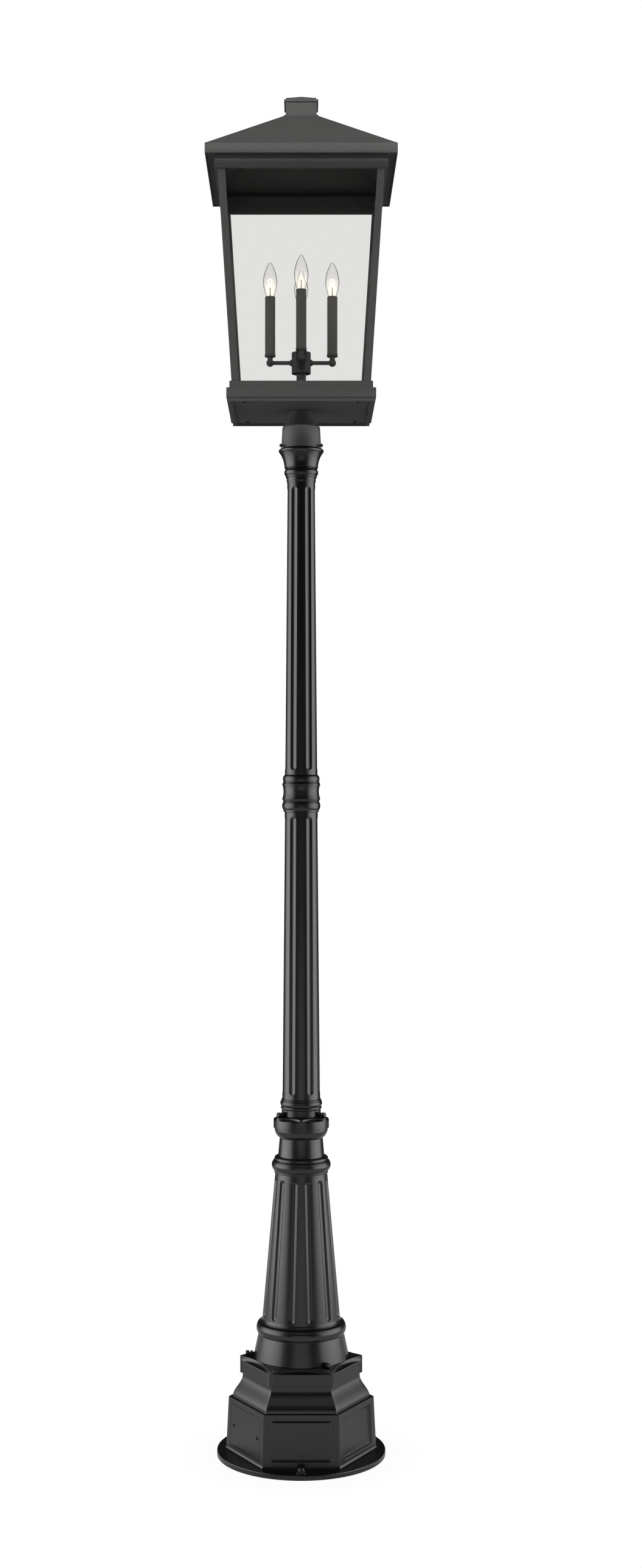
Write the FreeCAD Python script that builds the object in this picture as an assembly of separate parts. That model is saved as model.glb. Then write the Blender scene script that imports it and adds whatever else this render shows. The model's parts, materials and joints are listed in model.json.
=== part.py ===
import FreeCAD
import Part
import math
import os

# Outdoor post light: a square four-candle lantern on a fluted post with a hexagonal pedestal.
# Millimetres, +Z up. The origin is the centre of the base plate's underside and the front is towards -Y.

# Clearances
SLIP_GAP = 0.3  # radial, between castings that slip over each other
THREAD_GAP = 0.1  # radial, between a thread and its hole
TURN_GAP = 0.4  # radial, around pieces that turn or slide out in use
DROP_GAP = 0.6  # around covers and panels that drop into a frame
SCREW_GAP = 0.4  # radial, around a screw in a plain hole

# Base plate and anchors
PLATE_T = 12.0
PLATE_EDGE_R = 3.0
PLATE_BORDER = 17.5  # from the anchors' circle to the plate's edge
CONDUIT_R = 40.0
ANCHOR_OFF = 12.4  # from the pedestal's foot to an anchor's washer
ANCHOR_HOLE_R = 7.0
ANCHOR_THREAD_R = 6.0
WASHER_R = 12.0
WASHER_T = 2.0
NUT_FLATS = 18.0
NUT_HEX_H = 5.0
NUT_DOME_R = 7.5
NUT_DOME_H = 6.0
NUT_BLIND = 1.0  # the bore goes this far up into the dome

# Screws that hold the pedestal on the plate, from below
PLATE_SCREW_R = 4.0
PLATE_SCREW_HEAD_R = 8.0
PLATE_SCREW_HEAD_H = 4.5
PLATE_SCREW_REACH = 24.0
BOSS_R = 12.0
BOSS_H = 42.0

# Hexagonal pedestal, circumradii
BOX_R_FOOT = 172.5
BOX_R_TOP = 167.0
BOX_H = 118.0
BOX_WALL = 11.0
BOX_LEDGE = 9.1  # from the box's top edge to the foot of the ogee
FOOT_FLARE = 2.6
FOOT_H = 5.0
OGEE_R_NECK = 135.0
OGEE_CURVE_H = 49.6
OGEE_NECK_H = 5.4
CROWN_R = 141.7
CROWN_BAND_H = 28.6
CROWN_SCOOP_H = 10.4
CROWN_SCOOP_BACK = 12.0
CROWN_EDGE_R = 8.0
CROWN_DECK = 12.0
OGEE_SECTIONS = 8  # hexagons that carry the ogee curve
COVE_SECTIONS = 4  # outlines that carry the cove of a scoop

# Panels and access door on the pedestal's faces
PANEL_W = 136.0
PANEL_H = 92.0
PANEL_DOWN = 2.7  # panels and door, below the middle of the faces
PANEL_BEVEL = 5.5
PANEL_DEPTH = 5.0
DOOR_FACE = 210.0  # plan angle of the face with the door
DOOR_W = 135.0
DOOR_H = 92.0
DOOR_T = 4.0
GASKET_T = 1.5
HAND_HOLE_W = 90.0
HAND_HOLE_H = 73.0
DOOR_SCREW_EDGE = 12.5
DOOR_SCREW_R = 2.0
DOOR_SCREW_HEAD_R = 3.5
DOOR_SCREW_HEAD_H = 2.4
DOOR_SCREW_REACH = 3.5

# Radial clamp bolts of the slip joints
BOLT_R = 3.0
BOLT_FLATS = 10.0
BOLT_HEAD_T = 8.0
JAM_NUT_T = 5.0
JAM_NUT_OFF = 2.0  # from the clamped casting to the jam nut
HEAD_OFF = 3.0  # from the jam nut to the head
BOLT_LIFT = 0.5  # between a bolt's flat and the casting below it

# Fluted column
SKIRT_R_FOOT = 109.5
SKIRT_R_TOP = 98.0
SKIRT_H = 53.6
SKIRT_WALL = 12.0
SKIRT_SPIGOT_H = 40.0
SKIRT_SPIGOT_WALL = 8.0
LOW_RING_R = 103.0
LOW_RING_H = 35.6
LOW_RING_PEAK = 13.0
LOW_RING_LEDGE = 2.3  # flat on the ring, out from the cove's foot
LOW_RING_COVE_W = 7.3
LOW_RING_COVE_H = 10.4
LOW_RING_COVE_ARC = (0.36, 0.4)  # a point of the cove's arc, in shares of its width and height
TAPER_R_FOOT = 89.0
TAPER_R_TOP = 59.7
TAPER_H = 332.8
TAPER_WALL = 12.0
COLUMN_FLUTES = 12
COLUMN_FLUTE_W = 15.5
COLUMN_FLUTE_DEPTH = 4.0
COLUMN_FLUTE_FOOT = 3.8  # plain length below the flutes
COLUMN_FLUTE_TOP = 12.5  # plain length above the flutes
HIGH_LIP_R = 62.0
HIGH_LIP_H = 5.0
HIGH_RING_R = 67.8
HIGH_RING_H = 25.0
HIGH_STEP_R = 61.7
HIGH_STEP_H = 8.0
NECK_R_FOOT = 53.0
NECK_R_TOP = 49.5
NECK_H = 42.0
CUP_R = 61.0
CUP_H = 22.4
CUP_ARC = (0.68, 0.34)  # a point of the cup's arc, in shares of its width and height
BAND_R = 63.7
BAND_H = 20.4
BAND_GROOVE = 1.6
BAND_SCOOP_H = 7.0
BAND_SCOOP_BACK = 12.5

# Lower shaft
SHAFT_FLUTES = 6
SHAFT_FLUTE_W = 14.2
SHAFT_FLUTE_DEPTH = 3.0
SHAFT_FLUTE_END = 12.0  # plain length beyond each end of the flutes
LOWER_R_FOOT = 43.6
LOWER_R_TOP = 38.1
LOWER_H = 658.0
LOWER_WALL = 7.0
LOWER_NECK_OUT = 1.3  # the neck, its rings and the step, beyond the foot of the taper
LOWER_VALLEY_OUT = 1.9
LOWER_STEP_OUT = 2.0
LOWER_BEAD_OUT = 3.4
LOWER_RING_OUT = 4.6
LOWER_NECK_H = 15.5
LOWER_BEAD_H = 7.0
LOWER_RING_H = 13.5
LOWER_STEP_H = 4.0
LOWER_NECK_WALL = 5.1
LOWER_SPIGOT_H = 45.0
LOWER_SPIGOT_WALL = 5.5

# Middle collar
MID_STEP_R = 40.6
MID_STEP_H = 4.0
MID_BEAD_R = 44.1
MID_BEAD_H = 20.0
MID_GROOVE_R = 41.0
MID_TIP_R = 44.0
MID_TIP_H = 6.0
MID_WAIST_R = 40.8
MID_WAIST_H = 33.5
MID_TOP_BEAD_R = 42.2
MID_TOP_BEAD_H = 15.5
MID_TOP_STEP = 1.0  # beyond the upper shaft
MID_SPIGOT_H = 55.0
MID_SPIGOT_WALL = 5.5

# Upper shaft
UPPER_R_FOOT = 37.6
UPPER_R_TOP = 32.2
UPPER_H = 671.0
UPPER_WALL = 7.5
UPPER_SOCKET_WALL = 6.5
UPPER_BAND_R = 33.6
UPPER_BAND_H = 12.0
UPPER_LIP_R = 35.8
UPPER_LIP_H = 4.0
UPPER_BEAD_R = 39.0
UPPER_BEAD_H = 15.0
UPPER_GROOVE_R = 36.3
UPPER_GROOVE_H = 2.0

# Capital and tenon
CAPITAL_LIP_R = 38.6
CAPITAL_LIP_H = 3.0
CAPITAL_FLARE_H = 34.0
CAPITAL_FLARE_ARC = (0.26, 0.5)  # a point of the flare's arc, in shares of its width and height
CAPITAL_RIM_WALL = 13.7  # around the tenon
CAPITAL_RIM_H = 7.0
CAPITAL_RIM_ROUND = 1.6
CAPITAL_SPIGOT_H = 40.0
CAPITAL_WALL = 6.5
TENON_R = 38.1
TENON_WALL = 3.5
TENON_SEAT = 14.0
TENON_H = 44.0  # above the capital

# Post fitter
FITTER_OFF = 1.7  # above the capital's rim
FITTER_PLAY = 1.0  # radial play on the tenon, taken up by the set screws
FITTER_WALL_FOOT = 6.9
FITTER_WALL_SHOULDER = 4.3
FITTER_BODY_H = 49.0
FITTER_NECK_R = 27.4
FITTER_NECK_H = 36.5
FITTER_NECK_ARC = (0.4, 0.4)  # a point of the neck's arc, in shares of its width and height
FITTER_SCREW_R = 2.0
FITTER_SCREW_UP = 4.0
FITTER_SCREW_OUT = 7.0  # bare thread between the fitter and the head
FITTER_SCREW_HEAD_R = 3.9
FITTER_SCREW_HEAD_H = 4.5

# Lantern base
DECK_OUT = 4.5  # beyond the foot of the cage
DECK_H = 16.0
TIER_OUT = 6.6  # beyond the deck
TIER_H = 22.0
RIM_IN = 4.6  # inside the tier
RIM_H = 8.0
RIM_WALL = 10.0
COVER_T = 3.0
DECK_T = 6.0
TRAY_WALL = 4.0  # ledge that the bottom cover lies against
COVER_SCREW_IN = 25.0  # from the edge of the bottom cover
COVER_SCREW_R = 2.0
COVER_SCREW_HEAD_R = 4.0
COVER_SCREW_HEAD_H = 2.5
COVER_SCREW_REACH = 12.0
COVER_BOSS_R = 6.0

# Lantern cage, half widths
CAGE_HALF_FOOT = 155.5
CAGE_HALF_TOP = 184.8
CAGE_H = 465.0
POST_SIDE = 16.0
GLASS_T = 3.0
GLASS_GAP = 0.3  # on each face of a pane
GROOVE_DEPTH = 5.0
GROOVE_ROOM = 0.6  # between a pane's edge and the bottom of its groove
GLASS_ABOVE = 15.0  # of a pane above the corner posts
FRIEZE_OUT = 7.2  # beyond the top of the cage
FRIEZE_H = 29.0
UPSTAND_WALL = 4.0
UPSTAND_H = 12.0
CLIP_W = 42.0
CLIP_IN = 49.6  # from the ring's inner corner to the middle of a clip
CLIP_T = 1.5
CLIP_LEG = 7.0
CLIP_FLANGE = 16.0
TAB_W = 16.0
TAB_H = 32.0
TAB_T = 2.0

# Roof and finial, half widths
ROOF_OUT = 20.5  # beyond the frieze
FASCIA_H = 21.7
FASCIA_DROP = 3.3  # below the soffit
ROOF_RISE = 115.1
ROOF_TOP_HALF = 39.5
ROOF_T = 3.0
ROOF_CAP_T = 4.0
SOFFIT_T = 2.5
SEAM_IN = 113.5  # from the roof's edge
SEAM_W = 1.2
SEAM_DEPTH = 1.0
FLANGE_H = 2.5
FINIAL_HALF = 35.5
FINIAL_H = 30.5
LID_HALF = 39.0
LID_H = 5.5
PYRAMID_HALF = 34.5
PYRAMID_FOOT_H = 4.0
PYRAMID_RISE = 14.0
ROD_R = 4.0
ROD_BELOW = 18.0
ROD_ABOVE = 4.0  # into the finial's cap
ROD_NUT_FLATS = 13.0
ROD_NUT_H = 6.5

# Lamp cluster
STEM_R = 11.0
STEM_WALL = 3.0
STEM_OFF = 13.2  # from the tenon to the stem's foot
STEM_ABOVE_DECK = 46.0  # to the underside of the hub
STEM_PAST_NUT = 1.1
LOCKNUT_WALL = 3.0
LOCKNUT_H = 7.0
HUB_ROOM = 2.8  # around the nut inside the hub
HUB_H = 40.1
HUB_WALL = 3.0
HUB_COVER_H = 8.9
HUB_LIP_H = 5.0
ARM_UP = 16.5  # from the hub's open edge to the arms
ARM_R = 4.6
ARM_BORE_R = 2.8
ARM_IN_HUB = 2.0
ARM_COLLAR_R = 7.2
ARM_COLLAR_L = 4.0
ARM_REACH = 71.5
ELBOW_R = 8.8
ELBOW_NECK_R = 7.0
ELBOW_NECK_H = 14.0  # from the arm's axis to the candle cup
CUP_WALL = 0.5
CUP_RING_H = 5.0
CUP_FLOOR = 2.0
SLEEVE_R = 11.7
SLEEVE_WALL = 1.2
SLEEVE_H = 136.0
HOLDER_H = 28.0
HOLDER_FLOOR = 4.0
HOLDER_DOWN = 4.0  # below the sleeve's rim
HOLDER_STEM_R = 4.5

# Lamps
CAP_R = 5.9
CONTACT_R = 2.4
CONTACT_H = 2.0
LAMP_OFF = 1.4  # between the lampholder and the glass
LAMP_NECK_R = 7.3
LAMP_R = 16.3
LAMP_WIDEST = 36.0  # from the cap to the widest ring
LAMP_H = 82.0  # from the cap to the tip
LAMP_TIP_R = 3.2
LAMP_LOWER_ARC = (0.62, 0.46)  # points of the side's arcs, in shares of their width and height
LAMP_UPPER_ARC = (0.67, 0.56)
LAMP_WALL = 0.9
MOUNT_R = 3.0
MOUNT_H = 24.0
LEAD_R = 0.45
LEAD_H = 15.0
LEAD_SPREAD = 4.0

# A hexagon's distance to its flats, and a quarter circle's middle, over the radius
FLAT = math.cos(math.radians(30))
DIAGONAL = math.sqrt(0.5)

# Heights that follow from the sizes above
Z_BOX = PLATE_T + BOX_H
Z_OGEE = Z_BOX + OGEE_CURVE_H + OGEE_NECK_H
Z_CROWN_RIM = Z_OGEE + CROWN_BAND_H
Z_CROWN = Z_CROWN_RIM + CROWN_SCOOP_H
Z_SKIRT = Z_CROWN + SKIRT_H
Z_TAPER = Z_SKIRT + LOW_RING_H
Z_HIGH_LIP = Z_TAPER + TAPER_H
Z_HIGH_RING = Z_HIGH_LIP + HIGH_LIP_H
Z_HIGH_STEP = Z_HIGH_RING + HIGH_RING_H
Z_NECK = Z_HIGH_STEP + HIGH_STEP_H
Z_CUP = Z_NECK + NECK_H
Z_BAND = Z_CUP + CUP_H
Z_BAND_RIM = Z_BAND + BAND_H
Z_COLLAR = Z_BAND_RIM + BAND_SCOOP_H
Z_LOWER_BEAD = Z_COLLAR + LOWER_NECK_H
Z_LOWER_RING = Z_LOWER_BEAD + LOWER_BEAD_H
Z_LOWER_STEP = Z_LOWER_RING + LOWER_RING_H
Z_LOWER = Z_LOWER_STEP + LOWER_STEP_H
Z_MID = Z_LOWER + LOWER_H
Z_MID_BEAD = Z_MID + MID_STEP_H
Z_MID_GROOVE = Z_MID_BEAD + MID_BEAD_H
Z_MID_TIP = Z_MID_GROOVE + MID_TIP_H
Z_MID_TIP_TOP = Z_MID_TIP + MID_WAIST_H
Z_MID_TOP_BEAD = Z_MID_TIP_TOP + MID_TIP_H
Z_UPPER = Z_MID_TOP_BEAD + MID_TOP_BEAD_H
Z_UPPER_BAND = Z_UPPER + UPPER_H
Z_UPPER_LIP = Z_UPPER_BAND + UPPER_BAND_H
Z_UPPER_BEAD = Z_UPPER_LIP + UPPER_LIP_H
Z_UPPER_GROOVE = Z_UPPER_BEAD + UPPER_BEAD_H
Z_CAPITAL = Z_UPPER_GROOVE + UPPER_GROOVE_H
Z_CAPITAL_RIM = Z_CAPITAL + CAPITAL_LIP_H + CAPITAL_FLARE_H
Z_CAPITAL_TOP = Z_CAPITAL_RIM + CAPITAL_RIM_H
Z_TENON = Z_CAPITAL_TOP + TENON_H
Z_FITTER = Z_CAPITAL_TOP + FITTER_OFF
Z_FITTER_SHOULDER = Z_FITTER + FITTER_BODY_H
Z_COVER = Z_FITTER_SHOULDER + FITTER_NECK_H
Z_TRAY = Z_COVER + COVER_T
Z_RIM = Z_TRAY - RIM_H
Z_TIER = Z_TRAY + TIER_H
Z_DECK = Z_TIER + DECK_H
Z_FRIEZE = Z_DECK + CAGE_H
Z_GLASS = Z_FRIEZE + GLASS_ABOVE
Z_SOFFIT = Z_FRIEZE + FRIEZE_H
Z_FASCIA = Z_SOFFIT - FASCIA_DROP
Z_EAVE = Z_FASCIA + FASCIA_H
Z_ROOF = Z_EAVE + ROOF_RISE
Z_FINIAL = Z_ROOF + FLANGE_H
Z_LID = Z_FINIAL + FINIAL_H
Z_PYRAMID = Z_LID + LID_H
Z_HUB_COVER = Z_DECK + STEM_ABOVE_DECK
Z_HUB = Z_HUB_COVER + HUB_COVER_H
Z_ARM = Z_HUB + ARM_UP
Z_CUP_RING = Z_ARM + ELBOW_NECK_H
Z_SLEEVE = Z_CUP_RING + CUP_FLOOR
Z_SLEEVE_TOP = Z_SLEEVE + SLEEVE_H
Z_HOLDER_TOP = Z_SLEEVE_TOP - HOLDER_DOWN
Z_HOLDER = Z_HOLDER_TOP - HOLDER_H
Z_CONTACT = Z_HOLDER + HOLDER_FLOOR + TURN_GAP
Z_CAP = Z_CONTACT + CONTACT_H
Z_LAMP = Z_HOLDER_TOP + LAMP_OFF

# Plan of the base
OGEE_R_FOOT = BOX_R_TOP - BOX_LEDGE
ANCHOR_CIRCLE_R = (BOX_R_FOOT + FOOT_FLARE) * FLAT + ANCHOR_OFF + WASHER_R
PLATE_R = ANCHOR_CIRCLE_R + PLATE_BORDER

# Radii of the lower shaft's foot and of the slip joints
LOWER_NECK_R = LOWER_R_FOOT + LOWER_NECK_OUT
LOWER_VALLEY_R = LOWER_R_FOOT + LOWER_VALLEY_OUT
LOWER_STEP_R = LOWER_R_FOOT + LOWER_STEP_OUT
LOWER_BEAD_R = LOWER_R_FOOT + LOWER_BEAD_OUT
LOWER_RING_R = LOWER_R_FOOT + LOWER_RING_OUT
SKIRT_SPIGOT_R = SKIRT_R_FOOT - SKIRT_WALL - SLIP_GAP
PEDESTAL_BORE_R = SKIRT_SPIGOT_R - SKIRT_SPIGOT_WALL
LOWER_SPIGOT_R = LOWER_NECK_R - LOWER_NECK_WALL - SLIP_GAP
COLUMN_BORE_R = LOWER_SPIGOT_R - LOWER_SPIGOT_WALL
LOWER_BORE_R = LOWER_R_TOP - LOWER_WALL
UPPER_SOCKET_R = UPPER_R_FOOT - UPPER_SOCKET_WALL
MID_LOW_SPIGOT_R = LOWER_BORE_R - SLIP_GAP
MID_HIGH_SPIGOT_R = UPPER_SOCKET_R - SLIP_GAP
MID_BORE_R = min(MID_LOW_SPIGOT_R, MID_HIGH_SPIGOT_R) - MID_SPIGOT_WALL
UPPER_BORE_R = UPPER_R_TOP - UPPER_WALL
CAPITAL_SPIGOT_R = UPPER_BORE_R - SLIP_GAP
CAPITAL_RIM_R = TENON_R + CAPITAL_RIM_WALL
WIRE_WAY_R = CAPITAL_SPIGOT_R - CAPITAL_WALL
SOCKET_R = TENON_R + FITTER_PLAY
FITTER_R_FOOT = SOCKET_R + FITTER_WALL_FOOT
FITTER_R_SHOULDER = SOCKET_R + FITTER_WALL_SHOULDER
STEM_HOLE_R = STEM_R + SCREW_GAP

# Half widths of the lantern's tiers, from the foot of the cage down
DECK_HALF = CAGE_HALF_FOOT + DECK_OUT
TIER_HALF = DECK_HALF + TIER_OUT
RIM_HALF = TIER_HALF - RIM_IN
COVER_HALF = RIM_HALF - RIM_WALL - DROP_GAP
COVER_SCREW_AT = COVER_HALF - COVER_SCREW_IN

# Slope of the cage's sides, how far a pane's middle lies inside the corner posts' outer faces, and the roof
CAGE_SLOPE = (CAGE_HALF_TOP - CAGE_HALF_FOOT) / CAGE_H
PANE_IN = POST_SIDE / 2
FRIEZE_HALF = CAGE_HALF_TOP + FRIEZE_OUT
FRIEZE_INNER = CAGE_HALF_TOP + CAGE_SLOPE * GLASS_ABOVE - PANE_IN + GLASS_T / 2 + GLASS_GAP
CLIP_AT = FRIEZE_INNER - CLIP_IN
ROOF_HALF = FRIEZE_HALF + ROOF_OUT
SEAM_AT = ROOF_HALF - SEAM_IN

# Inner edges of the roof's sheets, and the edge of the cap plate on top of them
ROOF_PITCH = math.atan2(ROOF_RISE, ROOF_HALF - ROOF_TOP_HALF)
Z_ROOF_CAP = Z_ROOF - ROOF_CAP_T
Z_EAVE_INNER = Z_EAVE - ROOF_T / math.cos(ROOF_PITCH) + ROOF_T * math.tan(ROOF_PITCH)
ROOF_INNER = ROOF_HALF - ROOF_T
ROOF_INNER_TOP = ROOF_INNER - (Z_ROOF_CAP - Z_EAVE_INNER) / math.tan(ROOF_PITCH)
ROOF_CAP_HALF = ROOF_TOP_HALF + ROOF_CAP_T / math.tan(ROOF_PITCH)

# Lamp cluster, from the stem outwards, and from the lamp's cap outwards
LOCKNUT_FLATS = 2 * (STEM_R + LOCKNUT_WALL)
HUB_R = LOCKNUT_FLATS / (2 * FLAT) + HUB_ROOM + HUB_WALL
STEM_IN_HUB = HUB_COVER_H + HUB_LIP_H + LOCKNUT_H + STEM_PAST_NUT
CUP_RING_R = SLEEVE_R + SLIP_GAP + CUP_WALL
HOLDER_R = SLEEVE_R - SLEEVE_WALL - SLIP_GAP
HOLDER_BORE_R = CAP_R + TURN_GAP

# Plan angles
FACE_ANGLES = [30.0 + 60.0 * k for k in range(6)]
ANCHOR_ANGLES = [30.0, 150.0, 270.0]
BOSS_ANGLES = [0.0, 120.0, 240.0]
PEDESTAL_BOLT_ANGLES = [60.0, 180.0, 300.0]
COLLAR_BOLT_ANGLES = [90.0, 210.0, 330.0]
LAMP_PLACES = {"front": 270.0, "right": 0.0, "rear": 90.0, "left": 180.0}

UP = FreeCAD.Vector(0, 0, 1)
ORIGIN = FreeCAD.Vector(0, 0, 0)
OVER = 1.0  # how far a cutter runs past the face that it opens


# Helpers
def polar(radius, angle, z):
    turn = math.radians(angle)
    return FreeCAD.Vector(radius * math.cos(turn), radius * math.sin(turn), z)


def at_angle(shape, angle):
    """A copy of a shape, turned about the vertical axis."""
    copy = shape.copy()
    copy.rotate(ORIGIN, UP, angle)
    return copy


def around(shape, angles):
    return [at_angle(shape, angle) for angle in angles]


def round_bar(radius, z0, z1, x=0.0, y=0.0):
    return Part.makeCylinder(radius, z1 - z0, FreeCAD.Vector(x, y, z0))


def radial_bar(radius, x0, x1, z):
    return Part.makeCylinder(radius, x1 - x0, FreeCAD.Vector(x0, 0, z), FreeCAD.Vector(1, 0, 0))


def square_block(half, z0, z1):
    return Part.makeBox(2 * half, 2 * half, z1 - z0, FreeCAD.Vector(-half, -half, z0))


def block(x0, x1, y0, y1, z0, z1):
    return Part.makeBox(x1 - x0, y1 - y0, z1 - z0, FreeCAD.Vector(x0, y0, z0))


def rectangle(x0, x1, y0, y1, z):
    corners = [(x0, y0), (x1, y0), (x1, y1), (x0, y1), (x0, y0)]
    return Part.makePolygon([FreeCAD.Vector(x, y, z) for x, y in corners])


def square_frustum(half0, z0, half1, z1):
    low = rectangle(-half0, half0, -half0, half0, z0)
    high = rectangle(-half1, half1, -half1, half1, z1)
    return Part.makeLoft([low, high], True, True)


def hexagon(radius, z):
    return Part.makePolygon([polar(radius, 60.0 * k, z) for k in range(7)])


def hex_bar(flats, z0, z1):
    """An upright hexagonal bar of the given width across flats."""
    face = Part.Face(hexagon(flats / (2 * FLAT), z0))
    return face.extrude(FreeCAD.Vector(0, 0, z1 - z0))


def radial_hex(flats, x0, x1, z):
    """A hexagonal bar along X, with flats above and below."""
    bar = hex_bar(flats, x0, x1)
    bar.rotate(ORIGIN, FreeCAD.Vector(0, 1, 0), 90)
    bar.rotate(ORIGIN, FreeCAD.Vector(1, 0, 0), 90)
    bar.translate(FreeCAD.Vector(0, 0, z))
    return bar


def turned(*path):
    """Turn a closed outline of (radius, height) points about the vertical axis.

    A step given as ((radius, height), (radius, height)) is an arc through its first point to its second.
    """
    spots = [FreeCAD.Vector(path[0][0], 0, path[0][1])]
    edges = []
    for step in path[1:] + path[:1]:
        if isinstance(step[0], tuple):
            middle = FreeCAD.Vector(step[0][0], 0, step[0][1])
            end = FreeCAD.Vector(step[1][0], 0, step[1][1])
            edges.append(Part.Arc(spots[-1], middle, end).toShape())
        else:
            end = FreeCAD.Vector(step[0], 0, step[1])
            edges.append(Part.LineSegment(spots[-1], end).toShape())
        spots.append(end)
    return Part.Face(Part.Wire(edges)).revolve(ORIGIN, UP, 360)


def dome(radius, z_edge, z_top):
    """The last step of an outline: over from its edge to the axis, round a ball centred on the axis."""
    rise = z_top - z_edge
    ball = (radius * radius + rise * rise) / (2 * rise)
    half = math.atan2(radius, ball - rise) / 2
    return ((ball * math.sin(half), z_top - ball + ball * math.cos(half)), (0, z_top))


def flutes(count, first, width, depth, foot, top):
    """Cutters for upright flutes with round ends on a taper that runs from foot to top, (radius, height).

    The width is taken between a flute's edges, at the taper's mean radius.
    """
    mean = (foot[0] + top[0]) / 2
    sunk = depth - mean + math.sqrt(mean * mean - width * width / 4)
    ball = (width * width / 4 + sunk * sunk) / (2 * sunk)
    slope = (top[0] - foot[0]) / (top[1] - foot[1])
    low = FreeCAD.Vector(foot[0] + slope * width / 2 + ball - depth, 0, foot[1] + width / 2)
    high = FreeCAD.Vector(top[0] - slope * width / 2 + ball - depth, 0, top[1] - width / 2)
    run = high.sub(low)
    half = ball * DIAGONAL
    capsule = turned(
        (0, -ball),
        ((half, -half), (ball, 0)),
        (ball, run.Length),
        ((half, run.Length + half), (0, run.Length + ball)),
    )
    capsule.Placement = FreeCAD.Placement(low, FreeCAD.Rotation(UP, run))
    return around(capsule, [first + 360.0 / count * k for k in range(count)])


def one(shape):
    """The single solid of a finished piece."""
    return shape.Solids[0]


def save(name, *shapes):
    solid = shapes[0] if len(shapes) == 1 else Part.makeCompound(list(shapes))
    solid.exportStep("parts/" + name + ".step")


# Base
def plate_screw():
    """A countersunk screw, set a little above the plate's underside."""
    sink = SCREW_GAP
    neck = sink + PLATE_SCREW_HEAD_H
    return turned(
        (0, sink),
        (PLATE_SCREW_HEAD_R, sink),
        (PLATE_SCREW_R, neck),
        (PLATE_SCREW_R, PLATE_T + PLATE_SCREW_REACH),
        (0, PLATE_T + PLATE_SCREW_REACH),
    )


def plate_screw_hole():
    hole_r = PLATE_SCREW_R + SCREW_GAP
    return turned(
        (0, -OVER),
        (PLATE_SCREW_HEAD_R + SCREW_GAP, -OVER),
        (PLATE_SCREW_HEAD_R + SCREW_GAP, SCREW_GAP),
        (hole_r, SCREW_GAP + PLATE_SCREW_HEAD_H),
        (hole_r, PLATE_T + OVER),
        (0, PLATE_T + OVER),
    )


def box_inner(outer):
    """Inner circumradius of the pedestal's box where its outer one is given."""
    return outer - BOX_WALL / FLAT


BOSS_AT = box_inner(BOX_R_FOOT) - BOSS_R


def base_plate():
    edge = PLATE_EDGE_R * DIAGONAL
    plate = turned(
        (CONDUIT_R, 0),
        (PLATE_R, 0),
        (PLATE_R, PLATE_T - PLATE_EDGE_R),
        ((PLATE_R - PLATE_EDGE_R + edge, PLATE_T - PLATE_EDGE_R + edge), (PLATE_R - PLATE_EDGE_R, PLATE_T)),
        (CONDUIT_R, PLATE_T),
    )
    anchor = round_bar(ANCHOR_HOLE_R, -OVER, PLATE_T + OVER, ANCHOR_CIRCLE_R)
    screw = plate_screw_hole()
    screw.translate(FreeCAD.Vector(BOSS_AT, 0, 0))
    return one(plate.cut(around(anchor, ANCHOR_ANGLES) + around(screw, BOSS_ANGLES)))


def plate_screws():
    screw = plate_screw()
    screw.translate(FreeCAD.Vector(BOSS_AT, 0, 0))
    return around(screw, BOSS_ANGLES)


def anchor_washers():
    washer = round_bar(WASHER_R, PLATE_T, PLATE_T + WASHER_T, ANCHOR_CIRCLE_R)
    bore = round_bar(ANCHOR_THREAD_R + SCREW_GAP, PLATE_T - OVER, PLATE_T + WASHER_T + OVER, ANCHOR_CIRCLE_R)
    return around(one(washer.cut(bore)), ANCHOR_ANGLES)


def anchor_nuts():
    """Domed cap nuts."""
    foot = PLATE_T + WASHER_T
    dome_z = foot + NUT_HEX_H
    top = turned((0, dome_z), (NUT_DOME_R, dome_z), dome(NUT_DOME_R, dome_z, dome_z + NUT_DOME_H))
    nut = hex_bar(NUT_FLATS, foot, dome_z).fuse(top)
    nut = one(nut.cut(round_bar(ANCHOR_THREAD_R, foot - OVER, dome_z + NUT_BLIND)))
    nut.translate(FreeCAD.Vector(ANCHOR_CIRCLE_R, 0, 0))
    return around(nut, ANCHOR_ANGLES)


# Pedestal
BOX_FACE_H = BOX_H - FOOT_H
BOX_LEAN = math.atan2((BOX_R_FOOT - BOX_R_TOP) * FLAT, BOX_FACE_H)


def on_face(shape, angle):
    """Place a shape, drawn flat with +Z outwards and +Y up, where a panel lies on a leaning face."""
    turn = math.radians(angle)
    cos_a, sin_a = math.cos(turn), math.sin(turn)
    cos_l, sin_l = math.cos(BOX_LEAN), math.sin(BOX_LEAN)
    out = (BOX_R_FOOT + BOX_R_TOP) / 2 * FLAT + PANEL_DOWN * math.tan(BOX_LEAN)
    middle = polar(out, angle, PLATE_T + FOOT_H + BOX_FACE_H / 2 - PANEL_DOWN)
    copy = shape.copy()
    copy.Placement = FreeCAD.Placement(
        FreeCAD.Matrix(
            -sin_a, -sin_l * cos_a, cos_l * cos_a, middle.x,
            cos_a, -sin_l * sin_a, cos_l * sin_a, middle.y,
            0, cos_l, sin_l, middle.z,
            0, 0, 0, 1,
        )
    ).multiply(copy.Placement)
    return copy


def sunk_panel():
    """Cutter for a shallow panel with bevelled edges."""
    spread = PANEL_BEVEL * OVER / PANEL_DEPTH
    deep_w, deep_h = PANEL_W / 2 - PANEL_BEVEL, PANEL_H / 2 - PANEL_BEVEL
    wide_w, wide_h = PANEL_W / 2 + spread, PANEL_H / 2 + spread
    deep = rectangle(-deep_w, deep_w, -deep_h, deep_h, -PANEL_DEPTH)
    wide = rectangle(-wide_w, wide_w, -wide_h, wide_h, OVER)
    return Part.makeLoft([deep, wide], True, True)


def door_blank(grow, z0, z1):
    half_w, half_h = DOOR_W / 2 + grow, DOOR_H / 2 + grow
    return block(-half_w, half_w, -half_h, half_h, z0, z1)


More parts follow.
